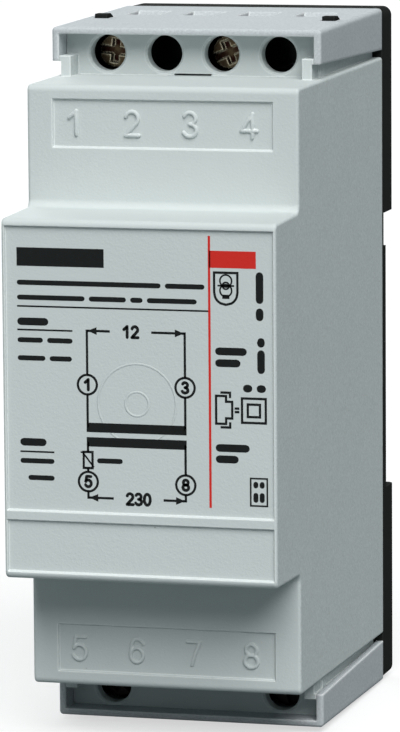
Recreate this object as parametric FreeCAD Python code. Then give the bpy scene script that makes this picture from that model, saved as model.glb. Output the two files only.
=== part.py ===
import FreeCAD, Part
import os
from math import sin, tan

# Doorbell transformer, two modules wide, for a 35 mm top-hat rail.
# Millimetres. X runs across the width, Y points back towards the rail, Z is up.
# The origin is the middle of the rail seat: the front face lies at negative Y.

V = FreeCAD.Vector

# Corner style of a swept run
mitred = 1

# Rail that the part clips to
rail_height = 35.0
rail_thickness = 1.0
rail_top_room = 0.4
rail_bottom_room = 1.5
rail_gap = 0.3

# Rear base
body_width = 35.2
body_height = 90.0
base_thickness = 2.0
foot_depth = 4.0
base_corner = 1.2
base_edge = 0.5
hook_width = 16.0
hook_grip = 1.6
relief_depth = 1.2
relief_height = 4.4
coring_wall = 1.6
coring_floor = 1.2

# Front shell
shoulder_depth = 44.3
nose_rise = 11.45
nose_height = 45.0
nose_root_draft = 0.3
hood_rise = 6.9
shoulder_draft = 0.5
side_draft = 0.1
shell_wall = 1.5
nose_wall = 1.8
edge_round = 0.8
side_edge_round = 0.4
step_round = 1.0

# Recessed fields on the front
field_depth = 0.35
field_draft = 0.15
nose_rim_top = 1.0
nose_rim_side = 0.5
divider_height = 1.4
lower_field_height = 6.3
number_field_width = 28.2
number_field_height = 5.85
number_field_drop = 1.85

# Terminal covers and the shell's upstands below them
cover_depth = 33.15
cover_plate = 0.85
cover_draft = 0.5
cover_flange_wall = 0.9
cover_flange_height = 4.8
cover_flange_rise = 0.6
cover_corner = 0.5
cover_front_round = 0.35
flange_gap = 0.3
rib_wall = 1.25
rib_height = 2.6
rib_lip = 0.7
rib_back_gap = 0.5
face_inset = 3.45
face_thickness = 2.0
access_hole = 4.6
access_drop = 0.3
access_chamfer = 0.3
slit_width = 4.9
slit_height = 0.25

# Terminals
terminal_count = 4
chamber_width = 6.2
block_side_wall = 0.65
block_floor = 4.0
head_recess = 1.6
head_diameter = 4.6
head_height = 1.6
head_slot = 1.0
head_slot_depth = 1.1
head_cross = 3.1
head_chamfer = 0.25
slot_turn = {1: 6.0, 3: -22.0, 5: 40.0, 8: 75.0}
shank_diameter = 3.5
head_gap = 0.7
cage_wall = 0.65
cage_front_wall = 1.5
cage_back_wall = 1.2
cage_height = 4.9
thread_reach = 2.6
bar_thickness = 1.0
bar_side_gap = 0.25
bar_tail_width = 2.6
bar_tail_length = 4.4
wire_gap = 6.0
closed_gap = 1.0
slot_width = 4.4
slot_margin = 0.2
slot_funnel = 0.5
hook_stud_width = 1.6
hook_stud_length = 3.0
hook_stud_slope = 1.2
hook_stud_rise = 0.5
hook_stud_offset = 13.7
hook_window_gap = 0.2

# Iron core, strap and coils
leg_width = 8.0
core_stack = 15.0
strap_thickness = 0.6
strap_width = 13.0
strap_tab = 6.0
core_pad = 0.8
core_top_room = 0.4
nose_rib_length = 4.0
nose_rib_wall = 1.2
nose_rib_spacing = 8.0
sleeve_gap = 0.2
sleeve_wall = 0.9
flange_wall = 0.9
bobbin_side_room = 1.1
bobbin_end_room = 0.3
coil_margin = 0.8
coil_corner = 4.0
tape_thickness = 0.3
lead_diameter = 1.2
lead_bend = 1.2
lead_notch = 1.8
lead_crossing_drop = 3.0
ptc_diameter = 7.0
ptc_thickness = 3.0
ptc_chamfer = 0.6

# Base fittings that hold the core and the shell
cradle_wall = 1.2
cradle_reach = 5.0
cradle_gap = 0.15
tongue_wall = 1.1
tongue_width = 16.0
tongue_reach = 6.0
tongue_barb = 0.35
tongue_barb_length = 1.0

# Rail latch and its spring
latch_width = 14.0
latch_grip = 1.7
latch_travel = 3.0
latch_wing = 2.0
latch_wing_thickness = 1.0
latch_floor = 1.0
latch_bottom_room = 1.0
latch_lead_in = 1.6
latch_window_room = 0.5
latch_tool_slot_width = 5.0
latch_tool_slot_height = 2.4
latch_tool_slot_rise = 1.2
spring_set = 1.5
spring_thickness = 0.35
spring_width = 2.0
spring_post_width = 1.4
spring_post_height = 1.5
spring_post_rise = 13.3

# Clearances
slide_gap = 0.15
fit_gap = 0.15
touch_gap = 0.1
snug_gap = 0.05
same_place = 0.001

# Levels along the depth
y_base_front = -base_thickness
y_shoulder = y_base_front - shoulder_depth
y_nose = y_shoulder - nose_rise
y_cover_front = y_base_front - cover_depth
y_face_front = y_cover_front + face_inset
y_face_back = y_face_front + face_thickness

# Levels across the width
half_width = body_width / 2
flange_inner = half_width - cover_flange_wall
rib_outer = flange_inner - flange_gap
rib_inner = rib_outer - rib_wall
shell_inner = half_width - shell_wall
block_half = rib_inner - fit_gap
terminal_pitch = 2 * (block_half - block_side_wall - chamber_width / 2) / (terminal_count - 1)
terminal_x = [terminal_pitch * (i - (terminal_count - 1) / 2) for i in range(terminal_count)]

# Levels along the height
half_height = body_height / 2
shoulder_top = half_height - hood_rise
z_cover_under = half_height - cover_draft - cover_plate
z_screw = z_cover_under - access_drop - access_hole / 2
z_chamber_floor = z_screw - cage_height / 2 - slide_gap
z_block_bottom = z_chamber_floor - block_floor
z_bar_end = z_block_bottom - bar_tail_length
z_shell_inner = shoulder_top - shell_wall
recess_top = rail_height / 2 + rail_top_room
recess_bottom = -rail_height / 2 - rail_bottom_room

# Screw, cage and bar of one terminal, from the front to the back
y_head = y_face_back + head_recess
y_head_back = y_head + head_height
cage_travel = wire_gap - closed_gap
y_cage_front = y_head_back + head_gap + cage_travel
y_bar_front = y_cage_front + cage_front_wall + thread_reach
y_bar_back = y_bar_front + bar_thickness
y_bar = (y_bar_front + y_bar_back) / 2
y_cage_back_inner = y_bar_back + wire_gap
y_cage_back = y_cage_back_inner + cage_back_wall
cage_half = chamber_width / 2 - slide_gap
cage_inner_half = cage_half - cage_wall
bar_half = cage_inner_half - bar_side_gap

# Core, worked inwards from the housing that holds it
core_half = nose_height / 2 - shell_wall - core_top_room - strap_thickness
y_core_back = y_base_front - core_pad - strap_thickness
y_core_front = y_nose + nose_wall + nose_rib_length + touch_gap + strap_thickness
y_core = (y_core_back + y_core_front) / 2
core_depth = y_core_back - y_core_front
window_width = (core_depth - 4 * leg_width) / 2
window_half = core_half - leg_width
stack_half = core_stack / 2

# Bobbin and coils
sleeve_inner_x = stack_half + sleeve_gap
sleeve_inner_y = leg_width + sleeve_gap
sleeve_outer_x = sleeve_inner_x + sleeve_wall
sleeve_outer_y = sleeve_inner_y + sleeve_wall
bobbin_x = shell_inner - bobbin_side_room
bobbin_y = leg_width + window_width - bobbin_end_room
bobbin_half = window_half - sleeve_gap
coil_x = bobbin_x - coil_margin
coil_y = bobbin_y - coil_margin
coil_top = bobbin_half - flange_wall
coil_bottom = flange_wall / 2

# Latch levels
latch_half = latch_width / 2
z_latch_tip = -rail_height / 2 + latch_grip
z_latch_bottom = -half_height + latch_bottom_room
y_latch_front = latch_floor + slide_gap
y_latch_back = foot_depth - slide_gap
spring_radius = latch_travel + spring_set
x_post = spring_radius + (spring_post_width - spring_thickness) / 2
z_post_top = -half_height + spring_post_rise
z_post_bottom = z_post_top - spring_post_height


def box(x0, x1, y0, y1, z0, z1):
    """Block between two corners."""
    return Part.makeBox(x1 - x0, y1 - y0, z1 - z0, V(x0, y0, z0))


def bar_x(half, y0, y1, z0, z1):
    """Block centred on X."""
    return box(-half, half, y0, y1, z0, z1)


def pin_y(x, z, diameter, y0, y1):
    """Round bar along Y."""
    return Part.makeCylinder(diameter / 2, y1 - y0, V(x, y0, z), V(0, 1, 0))


def pin_z(x, y, diameter, z0, z1):
    """Round bar along Z."""
    return Part.makeCylinder(diameter / 2, z1 - z0, V(x, y, z0), V(0, 0, 1))


def rims_at(shape, y):
    """Edges that lie at one depth."""
    return [e for e in shape.Edges if abs(e.BoundBox.Center.y - y) + e.BoundBox.YLength < same_place]


def both_sides(shape):
    """A shape and its mirror image across the middle plane of the width."""
    return [shape, shape.mirror(V(0, 0, 0), V(1, 0, 0))]


def turned_over(shape):
    """The same moulding turned half a turn about Y, for the lower end."""
    turned = shape.copy()
    turned.rotate(V(0, 0, 0), V(0, 1, 0), 180)
    return turned


def rounded_outline(points, radii):
    """Closed wire through the points, with an arc of the given radius at each corner."""
    edges = []
    starts = []
    ends = []
    mids = []
    count = len(points)
    for i in range(count):
        corner = points[i]
        back = (points[i - 1] - corner).normalize()
        ahead = (points[(i + 1) % count] - corner).normalize()
        half_angle = back.getAngle(ahead) / 2
        reach = radii[i] / tan(half_angle)
        middle = (back + ahead).normalize()
        starts.append(corner + back * reach)
        ends.append(corner + ahead * reach)
        mids.append(corner + middle * (radii[i] / sin(half_angle) - radii[i]))
    for i in range(count):
        if radii[i] > 0:
            edges.append(Part.Arc(starts[i], mids[i], ends[i]).toShape())
        edges.append(Part.LineSegment(ends[i], starts[(i + 1) % count]).toShape())
    return Part.Wire(edges)


def prism_x(half, outline):
    """Side outline of (y, z, radius) corners, carried across the width."""
    points = [V(-half, y, z) for y, z, radius in outline]
    wire = rounded_outline(points, [radius for y, z, radius in outline])
    return Part.Face(wire).extrude(V(2 * half, 0, 0))


def prism_y(y0, y1, outline):
    """Front outline of (x, z, radius) corners, carried along the depth."""
    points = [V(x, y0, z) for x, z, radius in outline]
    wire = rounded_outline(points, [radius for x, z, radius in outline])
    return Part.Face(wire).extrude(V(0, y1 - y0, 0))


def prism_z(z0, z1, outline):
    """Plan outline of (x, y, radius) corners, carried along the height."""
    points = [V(x, y, z0) for x, y, radius in outline]
    wire = rounded_outline(points, [radius for x, y, radius in outline])
    return Part.Face(wire).extrude(V(0, 0, z1 - z0))


def rectangle(half_u, half_v, radius, u=0.0, v=0.0):
    """Corners of a rounded rectangle about (u, v)."""
    corners = [(-1, -1), (1, -1), (1, 1), (-1, 1)]
    return [(u + a * half_u, v + b * half_v, radius) for a, b in corners]


def side_at(y):
    """Half width of the drafted shell at a depth."""
    return half_width - side_draft * (y_base_front - y) / (y_base_front - y_nose)


def top_at(y):
    """Height of the drafted shoulder at a depth."""
    return shoulder_top + shoulder_draft * (y - y_shoulder) / shoulder_depth


def cover_top_at(y):
    """Height of the drafted cover at a depth."""
    return half_height - cover_draft * (y_base_front - y) / cover_depth


# Front shell

def shell_outline():
    """Side outline of the shell, stepped from the shoulders to the nose."""
    root = nose_height / 2 + nose_root_draft
    tip = nose_height / 2
    upper = [
        (y_base_front, top_at(y_base_front), 0),
        (y_shoulder, shoulder_top, edge_round),
        (y_shoulder, root, step_round),
        (y_nose, tip, edge_round),
    ]
    lower = [(y, -z, radius) for y, z, radius in reversed(upper)]
    return upper + lower


def shell_cavity():
    """Hollow of the shell, open at the back."""
    y_inner = y_shoulder + shell_wall
    tip = nose_height / 2 - shell_wall
    upper = [
        (y_base_front, z_shell_inner, 0),
        (y_inner, z_shell_inner, 0),
        (y_inner, tip, 0),
        (y_nose + nose_wall, tip, 0),
    ]
    lower = [(y, -z, radius) for y, z, radius in reversed(upper)]
    return prism_x(shell_inner, upper + lower)


def drafted_body():
    """Outer form: the stepped outline, narrowed towards the front, with soft side edges."""
    solid = prism_x(half_width, shell_outline())
    front = side_at(y_nose)
    plan = [
        (-half_width, y_base_front, 0),
        (-front, y_nose, 0),
        (front, y_nose, 0),
        (half_width, y_base_front, 0),
    ]
    solid = solid.common(prism_z(-half_height, half_height, plan))
    edges = []
    for edge in solid.Edges:
        box_of = edge.BoundBox
        on_side = min(abs(box_of.XMin), abs(box_of.XMax)) > front - same_place
        narrow = box_of.XLength < side_draft + same_place
        at_back = box_of.YMin > y_base_front - same_place
        if on_side and narrow and not at_back:
            edges.append(edge)
    return solid.makeFillet(side_edge_round, edges)


def terminal_upstand(holes):
    """Terminal face and its two side ribs, as they rise from the upper shoulder."""
    lip_end = flange_inner - snug_gap
    rib_back = y_base_front - rib_back_gap
    rib_top = top_at(y_face_front) + rib_height
    face = bar_x(lip_end, y_face_front, y_face_back, z_shell_inner, z_cover_under)
    rib = box(rib_inner, rib_outer, y_cover_front, rib_back, z_shell_inner, rib_top)
    lip = box(rib_outer, lip_end, y_cover_front, rib_back, rib_top - rib_lip, rib_top)
    upstand = face.multiFuse(both_sides(rib) + both_sides(lip))
    for x in holes:
        upstand = upstand.cut(pin_y(x, z_screw, access_hole, y_face_front, y_face_back))
        rim = Part.makeCone(
            access_hole / 2 + access_chamfer, access_hole / 2, access_chamfer,
            V(x, y_face_front, z_screw), V(0, 1, 0))
        upstand = upstand.cut(rim)
    z_slit = top_at(y_face_front)
    return upstand.cut(bar_x(slit_width / 2, y_face_front, y_face_back, z_slit, z_slit + slit_height))


def terminal_opening():
    """Way through the upper wall of the shell for the terminal block."""
    return bar_x(rib_inner, y_face_back, y_base_front, 0, half_height)


def drafted_field(half, y_front, z0, z1):
    """Shallow field with walls that open towards the front."""
    outer = half + field_draft
    y_floor = y_front + field_depth
    return Part.makeWedge(
        -outer, y_front, z0 - field_draft, z0, -half, outer, y_floor, z1 + field_draft, z1, half)


def front_fields():
    """Shallow fields in the nose and in the two shoulders."""
    half = side_at(y_nose) - nose_rim_side
    top = nose_height / 2 - nose_rim_top
    divider_bottom = -top + lower_field_height
    divider_top = divider_bottom + divider_height
    fields = [
        drafted_field(half, y_nose, divider_top, top),
        drafted_field(half, y_nose, -top, divider_bottom),
    ]
    field_top = shoulder_top - number_field_drop
    number_field = drafted_field(
        number_field_width / 2, y_shoulder, field_top - number_field_height, field_top)
    return fields + [number_field, turned_over(number_field)]


def nose_ribs():
    """Ribs inside the nose that bear on the core strap."""
    inner = y_nose + nose_wall
    reach = window_half + leg_width / 2
    rib = box(
        nose_rib_spacing / 2 - nose_rib_wall / 2, nose_rib_spacing / 2 + nose_rib_wall / 2,
        inner, inner + nose_rib_length, -reach, reach)
    return both_sides(rib)


def barb_grooves():
    """Grooves inside the side walls where the base's tongues snap in."""
    y_barb = y_base_front - tongue_reach
    groove = box(
        shell_inner, shell_inner + tongue_barb + fit_gap,
        y_barb - fit_gap, y_barb + tongue_barb_length + fit_gap,
        -tongue_width / 2 - fit_gap, tongue_width / 2 + fit_gap)
    return both_sides(groove)


def front_shell():
    """Grey front housing."""
    shell = drafted_body()
    shell = shell.cut(shell_cavity())
    shell = shell.cut(terminal_opening())
    shell = shell.cut(turned_over(terminal_opening()))
    upper = terminal_upstand(terminal_x)
    lower = turned_over(terminal_upstand([terminal_x[0], terminal_x[-1]]))
    shell = shell.multiFuse([upper, lower] + nose_ribs())
    return shell.cut(Part.makeCompound(front_fields() + barb_grooves())).removeSplitter()


# Rear base

def base_outline(y0, y1):
    """Rounded rectangle of the base."""
    return prism_y(y0, y1, rectangle(half_width, half_height, base_corner))


def rail_hook():
    """Fixed hook over the upper edge of the rail, with a sloping lead-in."""
    lip = rail_height / 2 - hook_grip
    y_lip = rail_thickness + rail_gap
    slope = (foot_depth - y_lip) / 2
    outline = [
        (y_lip, recess_top, 0),
        (y_lip, lip, 0),
        (foot_depth - slope, lip, 0),
        (foot_depth, lip + slope, 0),
        (foot_depth, recess_top, 0),
    ]
    return prism_x(hook_width / 2, outline)


def latch_channel():
    """Sliding way for the latch in the lower foot, with its side grooves."""
    slot = bar_x(latch_half + slide_gap, latch_floor, foot_depth, -half_height, recess_bottom)
    groove_top = latch_floor + latch_wing_thickness + 2 * slide_gap
    grooves = bar_x(
        latch_half + latch_wing + slide_gap, latch_floor, groove_top, -half_height, recess_bottom)
    return slot.fuse(grooves)


def foot_pockets():
    """Coring pockets in the back of the feet."""
    outer = half_width - coring_wall
    upper = box(
        coring_wall / 2, outer, coring_floor, foot_depth,
        recess_top + coring_wall, half_height - coring_wall)
    lower = box(
        latch_half + latch_wing + slide_gap + coring_wall, outer, coring_floor, foot_depth,
        -half_height + coring_wall, recess_bottom - coring_wall)
    return both_sides(upper) + both_sides(lower)


def core_cradle():
    """Pad and walls that carry the strapped core on the front of the base."""
    y_end = y_base_front - cradle_reach
    reach_x = strap_width / 2
    top = core_half + strap_thickness + cradle_gap
    bottom = -core_half - strap_thickness - cradle_gap
    side = stack_half + cradle_gap
    walls = [
        bar_x(reach_x, y_base_front - core_pad, y_base_front, -window_half, window_half),
        bar_x(reach_x, y_end, y_base_front, top, top + cradle_wall),
        bar_x(reach_x, y_end, y_base_front, bottom - cradle_wall, bottom),
    ]
    cheek = box(side, side + cradle_wall, y_end, y_base_front, -window_half, window_half)
    return walls + both_sides(cheek)


def side_tongues():
    """Tongues that snap inside the side walls of the shell."""
    outer = shell_inner - fit_gap
    y_end = y_base_front - tongue_reach
    half = tongue_width / 2
    plan = [
        (outer - tongue_wall, y_base_front, 0),
        (outer - tongue_wall, y_end, 0),
        (outer, y_end, 0),
        (outer + tongue_barb, y_end + tongue_barb_length / 2, 0),
        (outer + tongue_barb, y_end + tongue_barb_length, 0),
        (outer, y_end + tongue_barb_length, 0),
        (outer, y_base_front, 0),
    ]
    return both_sides(prism_z(-half, half, plan))


def spring_posts():
    """Posts on the floor of the latch channel that the spring stands on."""
    post = box(
        x_post - spring_post_width, x_post, latch_floor, y_latch_back - slide_gap,
        z_post_bottom, z_post_top)
    return both_sides(post)


def base_plate():
    """Black rear part: plate, two feet, rail hook and latch channel."""
    base = base_outline(y_base_front, foot_depth)
    base = base.makeChamfer(base_edge, rims_at(base, foot_depth))
    base = base.cut(bar_x(half_width, 0, foot_depth, recess_bottom, recess_top))
    base = base.cut(bar_x(half_width, -relief_depth, 0, recess_top - relief_height, recess_top))
    base = base.cut(latch_channel())
    tip_window = bar_x(
        latch_half + slide_gap, y_base_front, 0, recess_bottom, z_latch_tip + slide_gap)
    base = base.cut(Part.makeCompound(foot_pockets() + [tip_window]))
    added = [rail_hook()] + core_cradle() + side_tongues() + spring_posts()
    return base.multiFuse(added).removeSplitter()


# Terminal covers

def cover_blank():
    """Plate with two side flanges, its top drafted and its outer edges rounded."""
    z_front = half_height - cover_flange_height
    z_back = z_front - cover_flange_rise
    side = [
        (y_cover_front, z_front, 0),
        (y_base_front, z_back, 0),
        (y_base_front, half_height, 0),
        (y_cover_front, cover_top_at(y_cover_front), 0),
    ]
    blank = prism_x(half_width, side)
    blank = blank.cut(bar_x(flange_inner, y_cover_front, y_base_front, z_back, z_cover_under))
    edges = [e for e in blank.Edges if e.BoundBox.ZMin > z_cover_under + same_place]
    blank = blank.makeFillet(cover_corner, [e for e in edges if e.BoundBox.XLength < same_place])
    rims = rims_at(blank, y_cover_front)
    outer = [e for e in rims if e.BoundBox.ZMax > z_cover_under + same_place]
    return blank.makeFillet(cover_front_round, outer)


def upper_terminal_cover():
    """Hood over the upper terminals, with wire slots and hook windows."""
    cover = cover_blank()
    y_slot_front = y_bar_back + slot_margin
    y_slot_back = y_cage_back_inner - slot_margin
    for x in terminal_x:
        cover = cover.cut(wire_funnel(x, y_slot_front, y_slot_back))
    return cover.cut(Part.makeCompound(both_sides(hook_window())))


def wire_funnel(x, y_front, y_back):
    """Wire entry: a slot through the plate, its rear end sloping on the outside."""
    low = cover_top_at(y_back) - slot_funnel
    outline = [
        (y_front, z_cover_under, 0),
        (y_back, z_cover_under, 0),
        (y_back, low, 0),
        (y_back + half_height - low, half_height, 0),
        (y_front, half_height, 0),
    ]
    slot = prism_x(slot_width / 2, outline)
    slot.translate(V(x, 0, 0))
    return slot


def hook_stud_box(gap, z0, z1):
    """Plan of one cover hook, grown by a gap, between two heights."""
    inner = block_half - block_side_wall
    y_front = y_cover_front + hook_stud_offset
    return box(
        inner - gap, inner + hook_stud_width + gap,
        y_front - gap, y_front + hook_stud_length + gap, z0, z1)


def hook_window():
    """Window in the cover for one hook."""
    return hook_stud_box(hook_window_gap, z_cover_under, half_height)


def hook_stud():
    """Hook of the terminal block that snaps over the cover, with a sloping back."""
    z_root = top_at(y_face_front) + rib_height + fit_gap
    y_back = y_cover_front + hook_stud_offset + hook_stud_length
    z_cover = cover_top_at(y_back)
    z_top = z_cover + hook_stud_rise
    stud = hook_stud_box(0, z_root, z_top)
    outer = block_half - block_side_wall + hook_stud_width
    slope = [
        (y_back, z_cover, 0),
        (y_back, z_top, 0),
        (y_back - hook_stud_slope, z_top, 0),
    ]
    wedge = prism_x(outer, slope)
    return stud.cut(wedge)


# Terminal blocks

def terminal_block(live, spare):
    """Black moulding with a chamber behind each access hole, open in front and on top."""
    block = bar_x(block_half, y_face_back + fit_gap, y_base_front, z_block_bottom, z_cover_under)
    y_chamber_back = y_cage_back + slide_gap
    half = chamber_width / 2
    for x in live + spare:
        chamber = box(
            x - half, x + half, y_face_back + fit_gap, y_chamber_back,
            z_chamber_floor, z_cover_under)
        block = block.cut(chamber)
    tail = bar_tail_width / 2 + touch_gap
    for x in live:
        tail_slot = box(
            x - tail, x + tail, y_bar_front - touch_gap, y_bar_back + touch_gap,
            z_block_bottom, z_chamber_floor)
        block = block.cut(tail_slot)
    return block.multiFuse(both_sides(hook_stud())).removeSplitter()


def upper_terminal_block():
    """Block of the low-voltage end: two live chambers and two spare ones."""
    return terminal_block([terminal_x[0], terminal_x[2]], [terminal_x[1], terminal_x[3]])


def lower_terminal_block():
    """Block of the mains end: live chambers at the two sides only."""
    return turned_over(terminal_block([terminal_x[0], terminal_x[-1]], []))


def terminal_screw(x, turn):
    """Clamp screw with a crossed slot in its head, turned by an angle."""
    y_tip = y_bar_front - touch_gap
    head = pin_y(x, z_screw, head_diameter, y_head, y_head_back)
    head = head.makeChamfer(head_chamfer, rims_at(head, y_head))
    shank = pin_y(x, z_screw, shank_diameter, y_head_back, y_tip)
    screw = head.fuse(shank)
    half = head_slot / 2
    arm = head_cross / 2
    slot_end = y_head + head_slot_depth
    reach = head_diameter / 2
    slot = box(x - reach, x + reach, y_head, slot_end, z_screw - half, z_screw + half)
    cross = box(x - half, x + half, y_head, slot_end, z_screw - arm, z_screw + arm)
    recess = slot.fuse(cross)
    recess.rotate(V(x, y_head, z_screw), V(0, 1, 0), turn)
    return screw.cut(recess)


def clamp_cage(x):
    """Lift cage: a square loop round the bar, with a clear hole for the screw in front."""
    half = cage_height / 2
    outer = box(
        x - cage_half, x + cage_half, y_cage_front, y_cage_back, z_screw - half, z_screw + half)
    inner = box(
        x - cage_inner_half, x + cage_inner_half,
        y_cage_front + cage_front_wall, y_cage_back_inner, z_screw - half, z_screw + half)
    hole = pin_y(
        x, z_screw, shank_diameter + 2 * slide_gap, y_cage_front, y_cage_front + cage_front_wall)
    return outer.cut(inner).cut(hole)


def contact_bar(x):
    """Fixed bar that stands on the chamber floor, with a tail down through the block."""
    tail = bar_tail_width / 2
    head = box(
        x - bar_half, x + bar_half, y_bar_front, y_bar_back,
        z_chamber_floor, z_screw + cage_height / 2)
    leg = box(x - tail, x + tail, y_bar_front, y_bar_back, z_bar_end, z_chamber_floor)
    return head.fuse(leg).removeSplitter()


# Core and coils

def core_e_stack():
    """E-shaped stack, open at the top, with its three legs upright."""
    front = y_core_front
    back = y_core_back
    middle = leg_width
    outline = [
        (front, -core_half, 0),
        (back, -core_half, 0),
        (back, window_half, 0),
        (back - leg_width, window_half, 0),
        (back - leg_width, -window_half, 0),
        (y_core + middle, -window_half, 0),
        (y_core + middle, window_half, 0),
        (y_core - middle, window_half, 0),
        (y_core - middle, -window_half, 0),
        (front + leg_width, -window_half, 0),
        (front + leg_width, window_half, 0),
        (front, window_half, 0),
    ]
    return prism_x(stack_half, outline)


def core_i_stack():
    """Straight stack that closes the three legs at the top."""
    return bar_x(stack_half, y_core_front, y_core_back, window_half, core_half)


def core_strap():
    """Bent steel frame over the top and both ends of the core, with tabs folded below."""
    half = strap_width / 2
    outer = bar_x(
        half, y_core_front - strap_thickness, y_core_back + strap_thickness,
        -core_half - strap_thickness, core_half + strap_thickness)
    core = bar_x(half, y_core_front, y_core_back, -core_half, core_half)
    gap = bar_x(
        half, y_core_front + strap_tab, y_core_back - strap_tab,
        -core_half - strap_thickness, -core_half)
    return outer.cut(core).cut(gap)


def winding_bobbin():
    """Two-chamber former on the middle leg, with notches for the coil ends."""
    middle = rectangle(sleeve_outer_x, sleeve_outer_y, 0, 0, y_core)
    bobbin = prism_z(-bobbin_half, bobbin_half, middle)
    plan = rectangle(bobbin_x, bobbin_y, coil_corner / 2, 0, y_core)
    for z in (-bobbin_half, -flange_wall / 2, bobbin_half - flange_wall):
        bobbin = bobbin.fuse(prism_z(z, z + flange_wall, plan))
    bore = rectangle(sleeve_inner_x, sleeve_inner_y, 0, 0, y_core)
    bobbin = bobbin.cut(prism_z(-bobbin_half, bobbin_half, bore))
    half = lead_notch / 2
    inner = terminal_x[-1] - half
    for z in (-bobbin_half, bobbin_half - flange_wall):
        notch = box(inner, bobbin_x, y_bar - half, y_bar + half, z, z + flange_wall)
        bobbin = bobbin.cut(Part.makeCompound(both_sides(notch)))
    return bobbin.removeSplitter()


def coil(half_x, half_y, radius, z0, z1, bore_x, bore_y, bore_radius):
    """Rounded ring about the middle leg between two heights."""
    ring = prism_z(z0, z1, rectangle(half_x, half_y, radius, 0, y_core))
    return ring.cut(prism_z(z0, z1, rectangle(bore_x, bore_y, bore_radius, 0, y_core)))


def winding(z0, z1):
    """Copper coil wound on the sleeve."""
    return coil(
        coil_x - tape_thickness, coil_y - tape_thickness, coil_corner, z0, z1,
        sleeve_outer_x, sleeve_outer_y, 0)


def tape(z0, z1):
    """Insulating wrap round a coil."""
    return coil(
        coil_x, coil_y, coil_corner + tape_thickness, z0, z1,
        coil_x - tape_thickness, coil_y - tape_thickness, coil_corner)


def straight_lead(x, z_coil, z_end):
    """Coil end that runs straight to the tail of its bar."""
    return pin_z(x, y_bar, lead_diameter, min(z_coil, z_end), max(z_coil, z_end))


def crossing_lead(x_bar, x_coil):
    """Coil end that crosses over the core to a bar near the middle, with bevelled bends."""
    z_cross = z_bar_end - lead_crossing_drop
    points = [
        V(x_bar, y_bar, z_bar_end),
        V(x_bar, y_bar, z_cross + lead_bend),
        V(x_bar + lead_bend, y_bar, z_cross),
        V(x_coil - lead_bend, y_bar, z_cross),
        V(x_coil, y_bar, z_cross - lead_bend),
        V(x_coil, y_bar, coil_top),
    ]
    section = Part.Wire([Part.Circle(points[0], V(0, 0, -1), lead_diameter / 2).toShape()])
    return Part.makePolygon(points).makePipeShell([section], True, False, mitred)


def ptc_thermistor():
    """Round protective resistor with one lead to the bar and one to the coil."""
    x = terminal_x[0]
    z_low = -z_bar_end
    z_disc = z_low + lead_crossing_drop + ptc_diameter / 2
    start = V(x - ptc_thickness / 2, y_bar, z_disc)
    disc = Part.makeCylinder(ptc_diameter / 2, ptc_thickness, start, V(1, 0, 0))
    rims = [e for e in disc.Edges if e.BoundBox.XLength < same_place]
    disc = disc.makeChamfer(ptc_chamfer, rims)
    return disc.fuse(pin_z(x, y_bar, lead_diameter, z_low, -coil_top)).removeSplitter()


# Rail latch

def rail_latch():
    """Sliding latch: body with side wings, sloping tip, spring window and tool slot."""
    outline = [
        (y_latch_front, z_latch_bottom, 0),
        (y_latch_back, z_latch_bottom, 0),
        (y_latch_back, z_latch_tip - latch_lead_in, 0),
        (y_latch_back - latch_lead_in, z_latch_tip, 0),
        (y_latch_front, z_latch_tip, 0),
    ]
    latch = prism_x(latch_half, outline)
    wings = bar_x(
        latch_half + latch_wing, y_latch_front, y_latch_front + latch_wing_thickness,
        z_latch_bottom, recess_bottom - latch_wing)
    latch = latch.fuse(wings)
    window = bar_x(
        x_post + latch_window_room, y_latch_front, y_latch_back,
        z_post_bottom - slide_gap, z_post_top + spring_radius + touch_gap)
    z_tool = z_latch_bottom + latch_tool_slot_rise
    tool_slot = bar_x(
        latch_tool_slot_width / 2, y_latch_front, y_latch_back, z_tool, z_tool + latch_tool_slot_height)
    return latch.cut(window).cut(tool_slot).removeSplitter()


def latch_spring():
    """Leaf spring bowed between the two posts and the top of the latch window."""
    y0 = (latch_floor + foot_depth - spring_width) / 2
    ring = Part.makeCylinder(spring_radius, spring_width, V(0, y0, z_post_top), V(0, 1, 0))
    bore = spring_radius - spring_thickness
    ring = ring.cut(Part.makeCylinder(bore, spring_width, V(0, y0, z_post_top), V(0, 1, 0)))
    return ring.common(bar_x(spring_radius, y0, y0 + spring_width, z_post_top, z_post_top + spring_radius))


def all_pieces():
    """Every piece by name."""
    pieces = {
        "front_shell": front_shell(),
        "base_plate": base_plate(),
        "upper_terminal_cover": upper_terminal_cover(),
        "lower_terminal_cover": turned_over(upper_terminal_cover()),
        "upper_terminal_block": upper_terminal_block(),
        "lower_terminal_block": lower_terminal_block(),
        "core_e_stack": core_e_stack(),
        "core_i_stack": core_i_stack(),
        "core_strap": core_strap(),
        "winding_bobbin": winding_bobbin(),
        "secondary_winding": winding(coil_bottom, coil_top),
        "primary_winding": winding(-coil_top, -coil_bottom),
        "secondary_tape": tape(coil_bottom, coil_top),
        "primary_tape": tape(-coil_top, -coil_bottom),
        "secondary_lead_1": straight_lead(terminal_x[0], coil_top, z_bar_end),
        "secondary_lead_3": crossing_lead(terminal_x[2], terminal_x[3]),
        "primary_lead_8": straight_lead(terminal_x[-1], -coil_top, -z_bar_end),
        "ptc_thermistor": ptc_thermistor(),
        "rail_latch": rail_latch(),
        "latch_spring": latch_spring(),
    }
    upper = {1: terminal_x[0], 3: terminal_x[2]}
    lower = {5: terminal_x[-1], 8: terminal_x[0]}
    for makers, turn in ((upper, False), (lower, True)):
        for number, x in makers.items():
            made = {
                "terminal_screw": terminal_screw(x, slot_turn[number]),
                "clamp_cage": clamp_cage(x),
                "contact_bar": contact_bar(x),
            }
            for name, shape in made.items():
                pieces[f"{name}_{number}"] = turned_over(shape) if turn else shape
    return pieces


os.makedirs("parts", exist_ok=True)
for piece_name, piece in all_pieces().items():
    piece.exportStep(f"parts/{piece_name}.step")
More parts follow.
